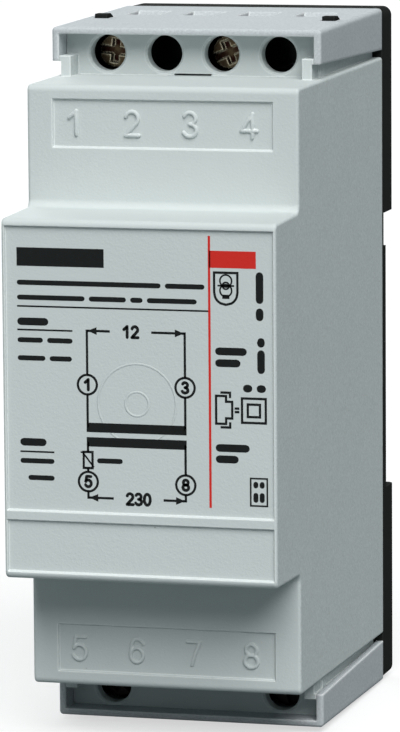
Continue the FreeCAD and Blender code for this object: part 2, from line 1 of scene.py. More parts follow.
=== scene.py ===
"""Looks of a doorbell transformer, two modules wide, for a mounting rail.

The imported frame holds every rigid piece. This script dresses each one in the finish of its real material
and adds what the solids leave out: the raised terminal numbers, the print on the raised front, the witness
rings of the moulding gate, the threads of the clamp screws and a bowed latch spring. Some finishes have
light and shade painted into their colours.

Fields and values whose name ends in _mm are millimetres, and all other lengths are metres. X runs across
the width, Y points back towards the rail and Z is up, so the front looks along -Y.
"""
import logging
from dataclasses import dataclass, field, replace
from enum import Enum

import bpy
import numpy as np
from mathutils import Matrix, Vector


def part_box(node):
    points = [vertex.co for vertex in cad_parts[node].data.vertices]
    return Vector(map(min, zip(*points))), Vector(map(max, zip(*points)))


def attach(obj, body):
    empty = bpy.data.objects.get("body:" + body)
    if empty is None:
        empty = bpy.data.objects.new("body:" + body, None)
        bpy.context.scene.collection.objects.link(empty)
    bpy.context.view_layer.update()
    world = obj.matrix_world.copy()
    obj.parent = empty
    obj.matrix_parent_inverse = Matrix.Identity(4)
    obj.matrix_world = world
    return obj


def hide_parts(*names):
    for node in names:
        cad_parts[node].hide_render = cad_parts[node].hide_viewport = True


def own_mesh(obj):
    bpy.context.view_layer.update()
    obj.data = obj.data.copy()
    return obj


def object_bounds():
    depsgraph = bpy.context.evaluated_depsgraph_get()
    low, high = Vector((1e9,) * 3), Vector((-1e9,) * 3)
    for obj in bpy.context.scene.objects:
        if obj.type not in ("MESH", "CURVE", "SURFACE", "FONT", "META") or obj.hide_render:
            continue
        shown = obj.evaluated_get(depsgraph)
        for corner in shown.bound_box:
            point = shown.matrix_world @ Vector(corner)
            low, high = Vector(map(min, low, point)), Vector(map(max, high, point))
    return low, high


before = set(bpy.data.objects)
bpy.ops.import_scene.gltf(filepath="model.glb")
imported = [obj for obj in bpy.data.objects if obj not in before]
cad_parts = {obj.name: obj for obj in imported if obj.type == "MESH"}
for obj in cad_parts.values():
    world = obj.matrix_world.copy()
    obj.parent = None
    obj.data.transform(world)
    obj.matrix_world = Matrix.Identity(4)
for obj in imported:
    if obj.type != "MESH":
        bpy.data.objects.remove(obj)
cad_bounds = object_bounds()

LOG = logging.getLogger("doorbell_transformer")
MM = 0.001
TO_RAIL, TO_FRONT = (0.0, 1.0, 0.0), (0.0, -1.0, 0.0)
SQUARE = np.array([[-1, -1], [1, -1], [1, 1], [-1, 1]])
# How far in front of the part a line of sight starts
SIGHT_LENGTH = 1.0
# How finely curves are cut: degrees between points of an arc, points across a bead, rings of a round end
ARC_STEP_DEG = 12.0
BEAD_STEPS = 9
ROUND_END_DEG = (80.0, 60.0, 35.0)
# Edges that turn by more stay sharp
SHARP_DEG = 40.0

Pair = tuple[float, float]
Tree = bpy.types.NodeTree
Socket = bpy.types.NodeSocket


# Surfaces

@dataclass
class Shell:
    """One closed surface, made of quads and of the faces that close its two ends."""

    points: np.ndarray
    quads: np.ndarray
    ends: list[np.ndarray] = field(default_factory=list)

    def outward(self) -> "Shell":
        """Turn the faces round if they look inwards.

        The sign comes from the enclosed volume: the sum of p0 . (p1 x p2) over all triangles, measured
        from the middle of the points.

        Returns:
            The same surface, looking outwards.
        """
        local = self.points - self.points.mean(axis=0)
        fans = [np.column_stack([np.full(len(e) - 2, e[0]), e[1:-1], e[2:]]) for e in self.ends]
        triangles = np.vstack([self.quads[:, [0, 1, 2]], self.quads[:, [0, 2, 3]]] + fans)
        a, b, c = (local[triangles[:, k]] for k in range(3))
        if np.sum(a * np.cross(b, c)) < 0:
            self.quads = self.quads[:, ::-1]
            self.ends = [e[::-1] for e in self.ends]
        return self


def sweep(
    centres: np.ndarray,
    sides: np.ndarray,
    rises: np.ndarray,
    profile: np.ndarray,
    scale: np.ndarray,
    closed: bool = False,
) -> Shell:
    """Carry a closed profile along a path.

    Point (i, j) = centre_i + scale_i * (u_j * side_i + h_j * rise_i), for path step i and profile corner j.

    Args:
        centres: path points, one row each.
        sides: direction of the profile's first coordinate at each path point.
        rises: direction of the profile's second coordinate at each path point.
        profile: corners (u, h) of the section.
        scale: size of the section at each path point.
        closed: whether the path returns to its start, so that it needs no end faces.

    Returns:
        The closed surface.
    """
    steps, corners = len(centres), len(profile)
    section = profile[None, :, :1] * sides[:, None, :] + profile[None, :, 1:] * rises[:, None, :]
    points = centres[:, None, :] + scale[:, None, None] * section
    index = np.arange(steps * corners).reshape(steps, corners)
    here = index if closed else index[:-1]
    ahead = np.roll(index, -1, axis=0) if closed else index[1:]
    quads = np.stack([here, np.roll(here, -1, axis=1), np.roll(ahead, -1, axis=1), ahead], axis=-1)
    ends = [] if closed else [index[0][::-1], index[-1]]
    return Shell(points.reshape(-1, 3), quads.reshape(-1, 4), ends).outward()


@dataclass(frozen=True)
class Arc:
    """Elliptic arc on the front: x = cx + rx cos a and z = cz + rz sin a, from start to end in degrees."""

    cx: float
    cz: float
    rx: float
    rz: float
    start: float
    end: float

    def trace(self) -> np.ndarray:
        """Points along the arc, one every few degrees.

        Returns:
            Rows of (x, z).
        """
        count = int(abs(self.end - self.start) / ARC_STEP_DEG) + 2
        angle = np.radians(np.linspace(self.start, self.end, count))
        return np.column_stack([self.cx + self.rx * np.cos(angle), self.cz + self.rz * np.sin(angle)])


@dataclass(frozen=True)
class Run:
    """Straight runs from corner to corner on the front."""

    corners: tuple[Pair, ...]

    def trace(self) -> np.ndarray:
        """The corners as they are."""
        return np.array(self.corners, dtype=float)


@dataclass(frozen=True)
class Stroke:
    """One pen stroke: arcs and runs, end to end."""

    parts: tuple[Arc | Run, ...]
    closed: bool = False

    def trace(self, size: float = 1.0, x: float = 0.0, z: float = 0.0) -> np.ndarray:
        """Points of the stroke, scaled and then moved.

        Args:
            size: factor on the stroke's own units.
            x: shift across the width.
            z: shift along the height.

        Returns:
            Rows of (x, z).
        """
        path = np.vstack([part.trace() for part in self.parts])
        if self.closed:
            path = path[:-1]
        return path * size + np.array([x, z])


def straight(*corners: Pair) -> Stroke:
    """Stroke of straight runs from corner to corner."""
    return Stroke((Run(corners),))


def oval(cx: float, cz: float, rx: float, rz: float, start: float = 90.0) -> Stroke:
    """Closed stroke once round an ellipse, from an angle in degrees."""
    return Stroke((Arc(cx, cz, rx, rz, start, start + 360),), True)


class Section(Enum):
    """Cross-section of a stroke that lies on the front."""

    BEAD = "half-round moulded bead"
    INK = "flat film of ink"

    def profile(self, width: float, rise: float, sunk: float) -> np.ndarray:
        """Closed outline of the section.

        A bead is the half ellipse u = width / 2 * cos a, h = rise * sin a on a foot; ink is a rectangle.

        Args:
            width: size across the stroke.
            rise: height above the surface.
            sunk: depth of the foot below the surface.

        Returns:
            Corners (u, h).
        """
        half = width / 2
        foot = np.array([[-half, -sunk], [half, -sunk]])
        if self is Section.INK:
            return np.vstack([foot, [[half, rise], [-half, rise]]])
        angle = np.radians(np.linspace(0, 180, BEAD_STEPS))
        return np.vstack([foot, np.column_stack([half * np.cos(angle), rise * np.sin(angle)])])


def sideways(path: np.ndarray, closed: bool) -> np.ndarray:
    """Normals of a path in its plane, lengthened at corners so that a carried width keeps parallel edges.

    With n1 and n2 the unit normals of the runs before and after a point, its normal is
    (n1 + n2) / (1 + n1 . n2).

    Args:
        path: rows of (x, z).
        closed: whether the last point runs on to the first.

    Returns:
        One normal for each point.
    """
    runs = np.diff(np.vstack([path, path[:1]]) if closed else path, axis=0)
    runs = runs / np.linalg.norm(runs, axis=1, keepdims=True)
    normals = np.column_stack([-runs[:, 1], runs[:, 0]])
    before = np.roll(normals, 1, axis=0) if closed else np.vstack([normals[:1], normals])
    after = normals if closed else np.vstack([normals, normals[-1:]])
    return (before + after) / (1 + np.sum(before * after, axis=1, keepdims=True))


@dataclass(frozen=True)
class Pen:
    """A tool that lays strokes of one section on the front.

    Args:
        section: cross-section of the stroke.
        width_mm: size across the stroke.
        rise_mm: height above the surface.
        sunk_mm: depth of its foot below the surface.
        rounded: whether the ends are round.
    """

    section: Section
    width_mm: float
    rise_mm: float
    sunk_mm: float
    rounded: bool = False

    def draw(self, path: np.ndarray, floor: float, closed: bool = False, taper: float = 1.0) -> Shell:
        """Lay one stroke.

        A round end is more rings beyond the path's end, at r sin b and scaled by cos b, for b up to
        nearly 90 degrees. A taper scales the section evenly from 1 to its value along the path.

        Args:
            path: rows of (x, z) in millimetres.
            floor: depth of the surface below the stroke, along Y.
            closed: whether the path is a loop.
            taper: size of the section at the path's end.

        Returns:
            The stroke's surface.
        """
        scale = np.linspace(1.0, taper, len(path))
        if self.rounded and not closed:
            turn = np.radians(ROUND_END_DEG)
            reach = (self.width_mm / 2 * np.sin(turn))[:, None]
            first = (path[0] - path[1]) / np.linalg.norm(path[0] - path[1])
            last = (path[-1] - path[-2]) / np.linalg.norm(path[-1] - path[-2])
            path = np.vstack([path[0] + reach * first, path, path[-1] + reach[::-1] * last])
            scale = np.concatenate([np.cos(turn), scale, np.cos(turn)[::-1]])
        normals = sideways(path, closed)
        steps = len(path)
        centres = np.column_stack([path[:, 0] * MM, np.full(steps, floor), path[:, 1] * MM])
        sides = np.column_stack([normals[:, 0], np.zeros(steps), normals[:, 1]])
        rises = np.tile(TO_FRONT, (steps, 1))
        profile = self.section.profile(self.width_mm * MM, self.rise_mm * MM, self.sunk_mm * MM)
        return sweep(centres, sides, rises, profile, scale, closed)


# Digits in units of their own height, drawn by their middle lines
DIGIT_WIDTH = 0.6
DIGIT_GAP = 0.22
DIGITS: dict[str, tuple[Stroke, ...]] = {
    "0": (oval(0.30, 0.50, 0.28, 0.50),),
    "1": (straight((0.39, 0.0), (0.39, 1.0)), straight((0.39, 1.0), (0.08, 0.71))),
    "2": (
        Stroke((Arc(0.30, 0.715, 0.27, 0.285, 165, -38), Run(((0.02, 0.0),)))),
        straight((0.02, 0.0), (0.60, 0.0)),
    ),
    "3": (
        Stroke((Arc(0.29, 0.755, 0.25, 0.245, 155, -90),)),
        Stroke((Arc(0.29, 0.255, 0.29, 0.255, 90, -158),)),
    ),
    "4": (
        straight((0.47, 0.0), (0.47, 1.0)),
        straight((0.47, 1.0), (0.0, 0.28)),
        straight((0.0, 0.28), (0.66, 0.28)),
    ),
    "5": (
        straight((0.56, 1.0), (0.13, 1.0)),
        straight((0.13, 1.0), (0.05, 0.50)),
        Stroke((Arc(0.29, 0.325, 0.30, 0.325, 147, -155),)),
    ),
    "6": (
        Stroke((Arc(0.34, 0.73, 0.26, 0.27, 18, 172), Run(((0.03, 0.32),)))),
        oval(0.31, 0.31, 0.28, 0.31, 180.0),
    ),
    "7": (straight((0.02, 1.0), (0.60, 1.0)), straight((0.60, 1.0), (0.36, 0.50), (0.22, 0.0))),
    "8": (oval(0.30, 0.755, 0.235, 0.245), oval(0.30, 0.265, 0.285, 0.265)),
}


def write_digits(
    text: str, pen: Pen, height_mm: float, x_mm: float, z_mm: float, floor: float
) -> list[Shell]:
    """Draw a plain number, centred on a point of the front.

    Args:
        text: its digits.
        pen: what draws it.
        height_mm: height of the middle lines.
        x_mm: middle of the number across the width.
        z_mm: middle of the number along the height.
        floor: depth of the surface, along Y.

    Returns:
        One surface for each stroke.
    """
    pitch = (DIGIT_WIDTH + DIGIT_GAP) * height_mm
    left = x_mm - ((len(text) - 1) * pitch + DIGIT_WIDTH * height_mm) / 2
    shells = []
    for place, digit in enumerate(text):
        for stroke in DIGITS[digit]:
            path = stroke.trace(height_mm, left + place * pitch, z_mm - height_mm / 2)
            shells.append(pen.draw(path, floor, stroke.closed))
    return shells


def surface_depth(node: str, x_mm: float, z_mm: float) -> float:
    """Depth at which a line of sight from the front meets a piece.

    Args:
        node: name of the piece.
        x_mm: place across the width.
        z_mm: place along the height.

    Returns:
        The Y coordinate of the surface.
    """
    start = Vector((x_mm * MM, cad_bounds[0][1] - SIGHT_LENGTH, z_mm * MM))
    hit, place, _normal, _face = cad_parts[node].ray_cast(start, Vector(TO_RAIL))
    if not hit:
        raise ValueError(f"{node} has no surface at x {x_mm} mm, z {z_mm} mm")
    return place.y


def make_piece(
    name: str, shells: list[Shell], material: bpy.types.Material, body: str
) -> bpy.types.Object:
    """Join closed surfaces into one piece that rides on a body.

    Args:
        name: name of the piece.
        shells: its closed surfaces.
        material: its finish.
        body: body of the frame that carries it.

    Returns:
        The new object, at the origin.
    """
    starts = np.cumsum([0] + [len(shell.points) for shell in shells])
    points = np.vstack([shell.points for shell in shells])
    faces = [face for shell, start in zip(shells, starts) for face in (shell.quads + start).tolist()]
    faces += [(end + start).tolist() for shell, start in zip(shells, starts) for end in shell.ends]
    mesh = bpy.data.meshes.new(name)
    mesh.from_pydata(points.tolist(), [], faces)
    mesh.polygons.foreach_set("use_smooth", np.ones(len(mesh.polygons), dtype=bool))
    mesh.set_sharp_from_angle(angle=np.radians(SHARP_DEG))
    mesh.materials.append(material)
    piece = bpy.data.objects.new(name, mesh)
    bpy.context.scene.collection.objects.link(piece)
    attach(piece, body)
    LOG.info("%s: %d faces on %s", name, len(faces), body)
    return piece


# Finishes

def linear(colour: str) -> tuple[float, float, float, float]:
    """Turn an sRGB hex colour into linear light.

    Args:
        colour: six hex digits after a hash.

    Returns:
        Linear red, green and blue, and an alpha of 1.
    """
    srgb = np.array([int(colour[k:k + 2], 16) for k in (1, 3, 5)]) / 255
    light = np.where(srgb <= 0.04045, srgb / 12.92, ((srgb + 0.055) / 1.055) ** 2.4)
    return (*light.tolist(), 1.0)


def add_node(tree: Tree, kind: str, inputs: dict | None = None, **settings: object) -> bpy.types.Node:
    """Add a node with its settings and links.

    Args:
        tree: where it goes.
        kind: Blender's name for the kind of node.
        inputs: for each socket a value, or another node's output that is linked to it.
        settings: properties of the node.

    Returns:
        The new node.
    """
    node = tree.nodes.new(kind)
    for name, value in settings.items():
        setattr(node, name, value)
    for socket, value in (inputs or {}).items():
        if isinstance(value, Socket):
            tree.links.new(value, node.inputs[socket])
        else:
            node.inputs[socket].default_value = value
    return node


# Colour sockets of the Mix node, by number, because its other kinds of value use the same names
MIX_FIRST, MIX_SECOND, MIX_RESULT = 6, 7, 2
# Rays that look for edges, and for open directions
EDGE_SAMPLES, OPEN_SAMPLES = 6, 8
# Spans of a node's value: where its effect starts and where it ends
GLOSS_SPAN = (0.3, 0.7)
GRAIN_SPAN = (0.25, 0.75)
RECESS_SHADE_SPAN = (0.6, 0.95)
WEAR_AND_HIGHLIGHT_SPAN = (0.82, 0.98)
JOINT_SPAN = (0.05, 0.3)


def mix_in_where_low(tree: Tree, colour: Socket, spot: str, value: Socket, span: Pair) -> Socket:
    """Mix a second colour into a colour where a value is low: real specks and joints, and also painted
    shade in recesses and painted highlights on edges.

    Args:
        tree: the material's nodes.
        colour: the colour so far.
        spot: the colour mixed in, in sRGB.
        value: what the mixed colour follows.
        span: where it is full, and where it ends.

    Returns:
        The mixed colour.
    """
    plain_share = add_node(tree, "ShaderNodeMapRange", {"Value": value, "From Min": span[0], "From Max": span[1]})
    inputs = {"Factor": plain_share.outputs["Result"], MIX_FIRST: linear(spot), MIX_SECOND: colour}
    return add_node(tree, "ShaderNodeMix", inputs, data_type="RGBA").outputs[MIX_RESULT]


@dataclass(frozen=True)
class Finish:
    """A surface: what it is made of, how it was made, and the light and shade painted into its colour.

    Args:
        name: plain name of the material.
        colour: its colour in sRGB.
        tint: a second colour that it drifts to in patches.
        patch_mm: size of those patches.
        roughness: middle roughness.
        roughness_drift: how far the roughness leaves its middle in patches.
        ior: index of refraction, for what isn't metal.
        specular: strength of its gloss, 0.5 for the plain index.
        metallic: 1 for bare metal.
        edge_mm: radius of the small round that tools leave on sharp edges.
        wear_and_highlight: colour that edges are painted to, empty where there is none: a painted
            highlight, which on the clamp screws also stands for rubbed wear.
        wear_and_highlight_mm: how far from an edge that colour reaches.
        recess_shade: colour of the painted shade in recesses, empty where there is none.
        recess_shade_mm: size of the recesses that it darkens.
    """

    name: str
    colour: str
    tint: str
    patch_mm: float = 6.0
    roughness: float = 0.5
    roughness_drift: float = 0.05
    ior: float = 1.5
    specular: float = 0.5
    metallic: float = 0.0
    edge_mm: float = 0.12
    wear_and_highlight: str = ""
    wear_and_highlight_mm: float = 0.2
    recess_shade: str = ""
    recess_shade_mm: float = 1.0

    def material(self) -> bpy.types.Material:
        """Make the material with its colour, gloss, patches and relief.

        Returns:
            The new material.
        """
        material = bpy.data.materials.new(self.name)
        material.use_nodes = True
        tree = material.node_tree
        shader = tree.nodes["Principled BSDF"]
        shader.inputs["IOR"].default_value = self.ior
        shader.inputs["Specular IOR Level"].default_value = self.specular
        shader.inputs["Metallic"].default_value = self.metallic
        place = add_node(tree, "ShaderNodeTexCoord").outputs["Object"]
        patches = add_node(
            tree, "ShaderNodeTexNoise", {"Vector": place, "Scale": 1 / (self.patch_mm * MM), "Detail": 3.0}
        ).outputs["Fac"]
        colours = {"Factor": patches, MIX_FIRST: linear(self.colour), MIX_SECOND: linear(self.tint)}
        colour = add_node(tree, "ShaderNodeMix", colours, data_type="RGBA").outputs[MIX_RESULT]
        # Painted shade in recesses and painted highlights along edges, where the finish has them
        colour = self.worn_and_highlit(tree, self.shaded_in_recesses(tree, self.coloured(tree, place, colour)))
        tree.links.new(colour, shader.inputs["Base Color"])
        gloss = add_node(
            tree, "ShaderNodeMapRange",
            {
                "Value": patches, "From Min": GLOSS_SPAN[0], "From Max": GLOSS_SPAN[1],
                "To Min": self.roughness - self.roughness_drift,
                "To Max": self.roughness + self.roughness_drift,
            })
        tree.links.new(gloss.outputs["Result"], shader.inputs["Roughness"])
        edge = add_node(tree, "ShaderNodeBevel", {"Radius": self.edge_mm * MM}, samples=EDGE_SAMPLES)
        height, distance_mm = self.relief(tree, place)
        bump = add_node(
            tree, "ShaderNodeBump",
            {"Height": height, "Distance": distance_mm * MM, "Normal": edge.outputs["Normal"]})
        tree.links.new(bump.outputs["Normal"], shader.inputs["Normal"])
        return material

    def coloured(self, tree: Tree, place: Socket, colour: Socket) -> Socket:
        """Pattern in the colour. A plain finish has none and passes its colour on."""
        return colour

    def shaded_in_recesses(self, tree: Tree, colour: Socket) -> Socket:
        """Darken the colour where the piece's own walls stand close: painted shade in its recesses.

        The share of open directions, within the size of a recess, is 1 on a face and falls in a recess.

        Args:
            tree: the material's nodes.
            colour: the colour so far.

        Returns:
            The colour with its painted shade, or as it was where there is none.
        """
        if not self.recess_shade:
            return colour
        reach = {"Distance": self.recess_shade_mm * MM}
        share = add_node(tree, "ShaderNodeAmbientOcclusion", reach, only_local=True, samples=OPEN_SAMPLES)
        return mix_in_where_low(tree, colour, self.recess_shade, share.outputs["AO"], RECESS_SHADE_SPAN)

    def worn_and_highlit(self, tree: Tree, colour: Socket) -> Socket:
        """Lighten the colour along edges, as a painted highlight that on the clamp screws also stands for
        rubbed wear.

        A normal that is rounded off near edges leaves the face's own there: the cosine between the two is
        1 on flat faces and falls towards an edge.

        Args:
            tree: the material's nodes.
            colour: the colour so far.

        Returns:
            The colour with its rubbed edges, or as it was where there are none.
        """
        if not self.wear_and_highlight:
            return colour
        rounded = add_node(tree, "ShaderNodeBevel", {"Radius": self.wear_and_highlight_mm * MM}, samples=EDGE_SAMPLES)
        face = add_node(tree, "ShaderNodeNewGeometry")
        normals = {0: rounded.outputs["Normal"], 1: face.outputs["True Normal"]}
        cosine = add_node(tree, "ShaderNodeVectorMath", normals, operation="DOT_PRODUCT")
        return mix_in_where_low(tree, colour, self.wear_and_highlight, cosine.outputs["Value"], WEAR_AND_HIGHLIGHT_SPAN)

    def relief(self, tree: Tree, place: Socket) -> tuple[Socket, float]:
        """Height pattern of the surface. Each kind of finish gives its own."""
        raise NotImplementedError


@dataclass(frozen=True)
class MouldedPlastic(Finish):
    """Thermoplastic from an eroded mould: a fine even grain that breaks up the gloss.

    Real grain is about a tenth of a millimetre wide, too fine to show in the render, so it is drawn two or
    three times as coarse.

    Args:
        grain_mm: width of one grain.
        grain_depth_mm: height of the grain.
        grain_shade: how much lighter the grain's tops and darker its hollows are painted, as painted light
            and shade, as a share, 0 for none.
        shade_grain_on_sides_only: whether only faces turned sideways, along X, get that painted shade.
        speck_gap_mm: spacing of the cells that hold a speck each, 0 for none.
        speck_mm: size of the largest specks.
        speck_core: share of a speck that has its full colour.
        speck: their colour.
    """

    grain_mm: float = 0.3
    grain_depth_mm: float = 0.012
    grain_shade: float = 0.0
    shade_grain_on_sides_only: bool = False
    speck_gap_mm: float = 0.0
    speck_mm: float = 0.18
    speck_core: float = 0.5
    speck: str = "#6F7472"

    def grain(self, tree: Tree, place: Socket) -> Socket:
        """Grain of the mould's eroded steel, as even noise from 0 to 1.

        Args:
            tree: the material's nodes.
            place: coordinates on the piece.

        Returns:
            The height of the grain.
        """
        noise = add_node(
            tree, "ShaderNodeTexNoise",
            {"Vector": place, "Scale": 1 / (self.grain_mm * MM), "Detail": 2.0, "Roughness": 0.6})
        return noise.outputs["Fac"]

    def coloured(self, tree: Tree, place: Socket, colour: Socket) -> Socket:
        """Paint light and shade onto the grain, and add specks as dots about the scattered points of a cell
        pattern.

        Args:
            tree: the material's nodes.
            place: coordinates on the piece.
            colour: the colour so far.

        Returns:
            The colour with its painted grain shade and its specks, or as it was where there are none.
        """
        # Painted light on the tops of the grain and painted shade in its hollows
        if self.grain_shade:
            shade = add_node(
                tree, "ShaderNodeMapRange",
                {
                    "Value": self.grain(tree, place),
                    "From Min": GRAIN_SPAN[0], "From Max": GRAIN_SPAN[1],
                    "To Min": 1 - self.grain_shade, "To Max": 1 + self.grain_shade,
                })
            inputs = {"Color": colour, "Value": shade.outputs["Result"]}
            if self.shade_grain_on_sides_only:
                face = add_node(tree, "ShaderNodeNewGeometry")
                way = add_node(tree, "ShaderNodeSeparateXYZ", {"Vector": face.outputs["True Normal"]})
                flank = add_node(tree, "ShaderNodeMath", {0: way.outputs["X"]}, operation="ABSOLUTE")
                inputs["Fac"] = flank.outputs[0]
            colour = add_node(tree, "ShaderNodeHueSaturation", inputs).outputs["Color"]
        if not self.speck_gap_mm:
            return colour
        cells = add_node(
            tree, "ShaderNodeTexVoronoi", {"Vector": place, "Scale": 1 / (self.speck_gap_mm * MM)})
        edge = self.speck_mm / 2 / self.speck_gap_mm
        return mix_in_where_low(tree, colour, self.speck, cells.outputs["Distance"], (self.speck_core * edge, edge))

    def relief(self, tree: Tree, place: Socket) -> tuple[Socket, float]:
        """The grain. Returns the height from 0 to 1, and its full height in millimetres."""
        return self.grain(tree, place), self.grain_depth_mm


@dataclass(frozen=True)
class WorkedMetal(Finish):
    """Rolled, drawn or turned metal: fine lines along one direction.

    Real lines are a few hundredths of a millimetre apart, too fine to show in the render, so they are drawn
    several times as coarse.

    Args:
        line_mm: spacing of the lines.
        line_depth_mm: their depth.
        stretch: how many times longer than wide a line is along X, Y and Z.
    """

    metallic: float = 1.0
    line_mm: float = 0.15
    line_depth_mm: float = 0.004
    stretch: tuple[float, float, float] = (12.0, 1.0, 1.0)

    def relief(self, tree: Tree, place: Socket) -> tuple[Socket, float]:
        """Lines of working, as noise drawn out along one axis.

        Args:
            tree: the material's nodes.
            place: coordinates on the piece.

        Returns:
            The height from 0 to 1, and its full height in millimetres.
        """
        scale = tuple(1 / (self.line_mm * MM * k) for k in self.stretch)
        drawn = add_node(tree, "ShaderNodeMapping", {"Vector": place, "Scale": scale})
        lines = add_node(
            tree, "ShaderNodeTexNoise", {"Vector": drawn.outputs["Vector"], "Scale": 1.0, "Detail": 2.0})
        return lines.outputs["Fac"], self.line_depth_mm


class Axis(Enum):
    """Direction in which layers follow each other."""

    ACROSS = "X"
    UP = "Z"


# Blender's wave texture has one crest for each 2 pi / 20 at a scale of 1
WAVE_TURN = 2 * np.pi / 20


@dataclass(frozen=True)
class Layered(Finish):
    """Sheets, turns or laps side by side, with a dark joint between each two.

    Args:
        layer_mm: pitch of the layers.
        layer_depth_mm: depth of the joints.
        joint: colour in the joints.
        axis: direction in which the layers follow each other.
    """

    layer_mm: float = 0.5
    layer_depth_mm: float = 0.05
    joint: str = "#202020"
    axis: Axis = Axis.UP

    def layers(self, tree: Tree, place: Socket) -> Socket:
        """Wave with one crest for each layer.

        Args:
            tree: the material's nodes.
            place: coordinates on the piece.

        Returns:
            The wave from 0 in the joints to 1 on the crests.
        """
        wave = add_node(
            tree, "ShaderNodeTexWave",
            {"Vector": place, "Scale": WAVE_TURN / (self.layer_mm * MM), "Distortion": 0.3, "Detail": 1.0},
            wave_type="BANDS", bands_direction=self.axis.value)
        return wave.outputs["Fac"]

    def coloured(self, tree: Tree, place: Socket, colour: Socket) -> Socket:
        """Darken the joints between the layers."""
        return mix_in_where_low(tree, colour, self.joint, self.layers(tree, place), JOINT_SPAN)

    def relief(self, tree: Tree, place: Socket) -> tuple[Socket, float]:
        """Joints as grooves. Returns the height from 0 to 1, and its full height in millimetres."""
        return self.layers(tree, place), self.layer_depth_mm


# Light grey polycarbonate: satin, even, faintly cool, with the soft sparkle of an eroded mould and a few
# burnt specks of the melt. Its edges are rounded a little in the shading and painted paler as a painted
# highlight, and on its sides the grain has painted light on its tops and painted shade in its hollows.
HOUSING_GREY = MouldedPlastic(
    "polycarbonate_light_grey", "#CBD2D1", "#C8CFCE", patch_mm=9.0, roughness=0.8, ior=1.58,
    specular=0.04, edge_mm=0.2, wear_and_highlight="#F2F6F5", wear_and_highlight_mm=0.35, grain_mm=0.3, grain_depth_mm=0.03,
    grain_shade=0.13, shade_grain_on_sides_only=True, speck_gap_mm=4.5)
# The same polycarbonate from a rougher mould, duller on the hoods. Their darker grey is painted shade, and
# their pale rims are a painted highlight; their grain has painted light on its tops and painted shade in
# its hollows.
HOOD_GREY = MouldedPlastic(
    "polycarbonate_coarse_grey", "#C2C7CA", "#BEC3C6", patch_mm=9.0, roughness=0.9, ior=1.58,
    specular=0.0, edge_mm=0.5, wear_and_highlight="#F3F7F6", wear_and_highlight_mm=0.5, grain_mm=0.3, grain_depth_mm=0.03,
    grain_shade=0.12)
# Black glass-filled polyamide: dull and deep, so it reads as a dark gap beside the grey.
# Its edges are painted a lighter grey as a painted highlight.
BASE_BLACK = MouldedPlastic(
    "polyamide_black", "#1F2120", "#272928", patch_mm=5.0, roughness=0.6, ior=1.53,
    specular=0.001, edge_mm=0.2, wear_and_highlight="#3A3C3B", grain_depth_mm=0.016)
# Natural polyamide: milky ivory, slightly glossy.
BOBBIN_IVORY = MouldedPlastic(
    "polyamide_natural", "#DDD6C2", "#D3CBB4", patch_mm=4.0, roughness=0.38, ior=1.53, grain_depth_mm=0.006)
# Yellow chromate on zinc: olive with brown and rose drifts over turned steel. Its edges are painted bright,
# a painted highlight that also stands for rubbed wear, and its recess is darkened as painted shade.
SCREW_STEEL = WorkedMetal(
    "steel_yellow_passivated", "#4E4732", "#2A1C1A", patch_mm=0.9, roughness=0.27, roughness_drift=0.12,
    edge_mm=0.22, wear_and_highlight="#EBE3C8", wear_and_highlight_mm=0.4, recess_shade="#24120F", line_mm=0.2, line_depth_mm=0.012,
    stretch=(1.0, 8.0, 1.0))
# The same turned steel on the mains screws, darkened to near black as painted shade, so that they look as
# dark as the holes that they sit in.
SCREW_SHADED = WorkedMetal(
    "steel_darkened_as_shade", "#191817", "#0F0E0E", patch_mm=0.9, roughness=0.4, edge_mm=0.22, line_mm=0.2,
    line_depth_mm=0.012, stretch=(1.0, 8.0, 1.0))
# Bright zinc plate on pressed steel: pale, a little blue, with rolling lines.
CAGE_STEEL = WorkedMetal(
    "steel_zinc_plated", "#C4C6C6", "#AEB2B5", patch_mm=2.5, roughness=0.32, stretch=(1.0, 14.0, 1.0))
# Tinned brass strip: warm where the tin is thin.
BAR_BRASS = WorkedMetal(
    "brass_tinned", "#CDBB86", "#C9C3AE", patch_mm=2.0, roughness=0.3, stretch=(1.0, 1.0, 14.0))
# Galvanised strip round the core: duller than the cages, with long lines.
STRAP_STEEL = WorkedMetal(
    "steel_galvanised", "#B4B7B8", "#9EA3A6", patch_mm=6.0, roughness=0.42, line_mm=0.25,
    stretch=(1.0, 20.0, 20.0))
# Hardened strip of the latch spring: mid grey and bright, with fine rolling lines.
SPRING_STEEL = WorkedMetal(
    "steel_spring_strip", "#9B9C9E", "#84878B", patch_mm=3.0, roughness=0.28, line_mm=0.1)
# Varnished core sheets, half a millimetre each: blue-grey edges with dark joints.
CORE_IRON = Layered(
    "silicon_steel_sheets", "#5B6068", "#6B5F55", patch_mm=5.0, roughness=0.45, metallic=0.8,
    layer_mm=0.5, joint="#17181A", axis=Axis.ACROSS)
# Enamelled copper wire, laid turn on turn: red-brown gloss with a dark line between the turns.
COIL_COPPER = Layered(
    "copper_wire_enamelled", "#9A4A22", "#B4602C", patch_mm=3.0, roughness=0.25, roughness_drift=0.04,
    metallic=0.6, layer_mm=0.45, layer_depth_mm=0.12, joint="#3A160A")
# Polyester tape in laps: clear amber yellow with a glossy face.
COIL_TAPE = Layered(
    "polyester_tape", "#D9A928", "#E2B43A", patch_mm=8.0, roughness=0.2, ior=1.64, layer_mm=5.2,
    layer_depth_mm=0.04, joint="#A87A12")
# Soft PVC sleeve on the leads: plain red, waxy gloss.
LEAD_SLEEVE = MouldedPlastic(
    "pvc_sleeve_red", "#A81E18", "#B4281E", patch_mm=3.0, roughness=0.35, ior=1.53, grain_depth_mm=0.004)
# Dipped resin coat of the thermistor: thick, blue and very smooth.
PTC_RESIN = MouldedPlastic(
    "epoxy_dipped_blue", "#1F4C8F", "#265BA6", patch_mm=2.0, roughness=0.15, ior=1.55, grain_mm=1.2,
    grain_depth_mm=0.02)
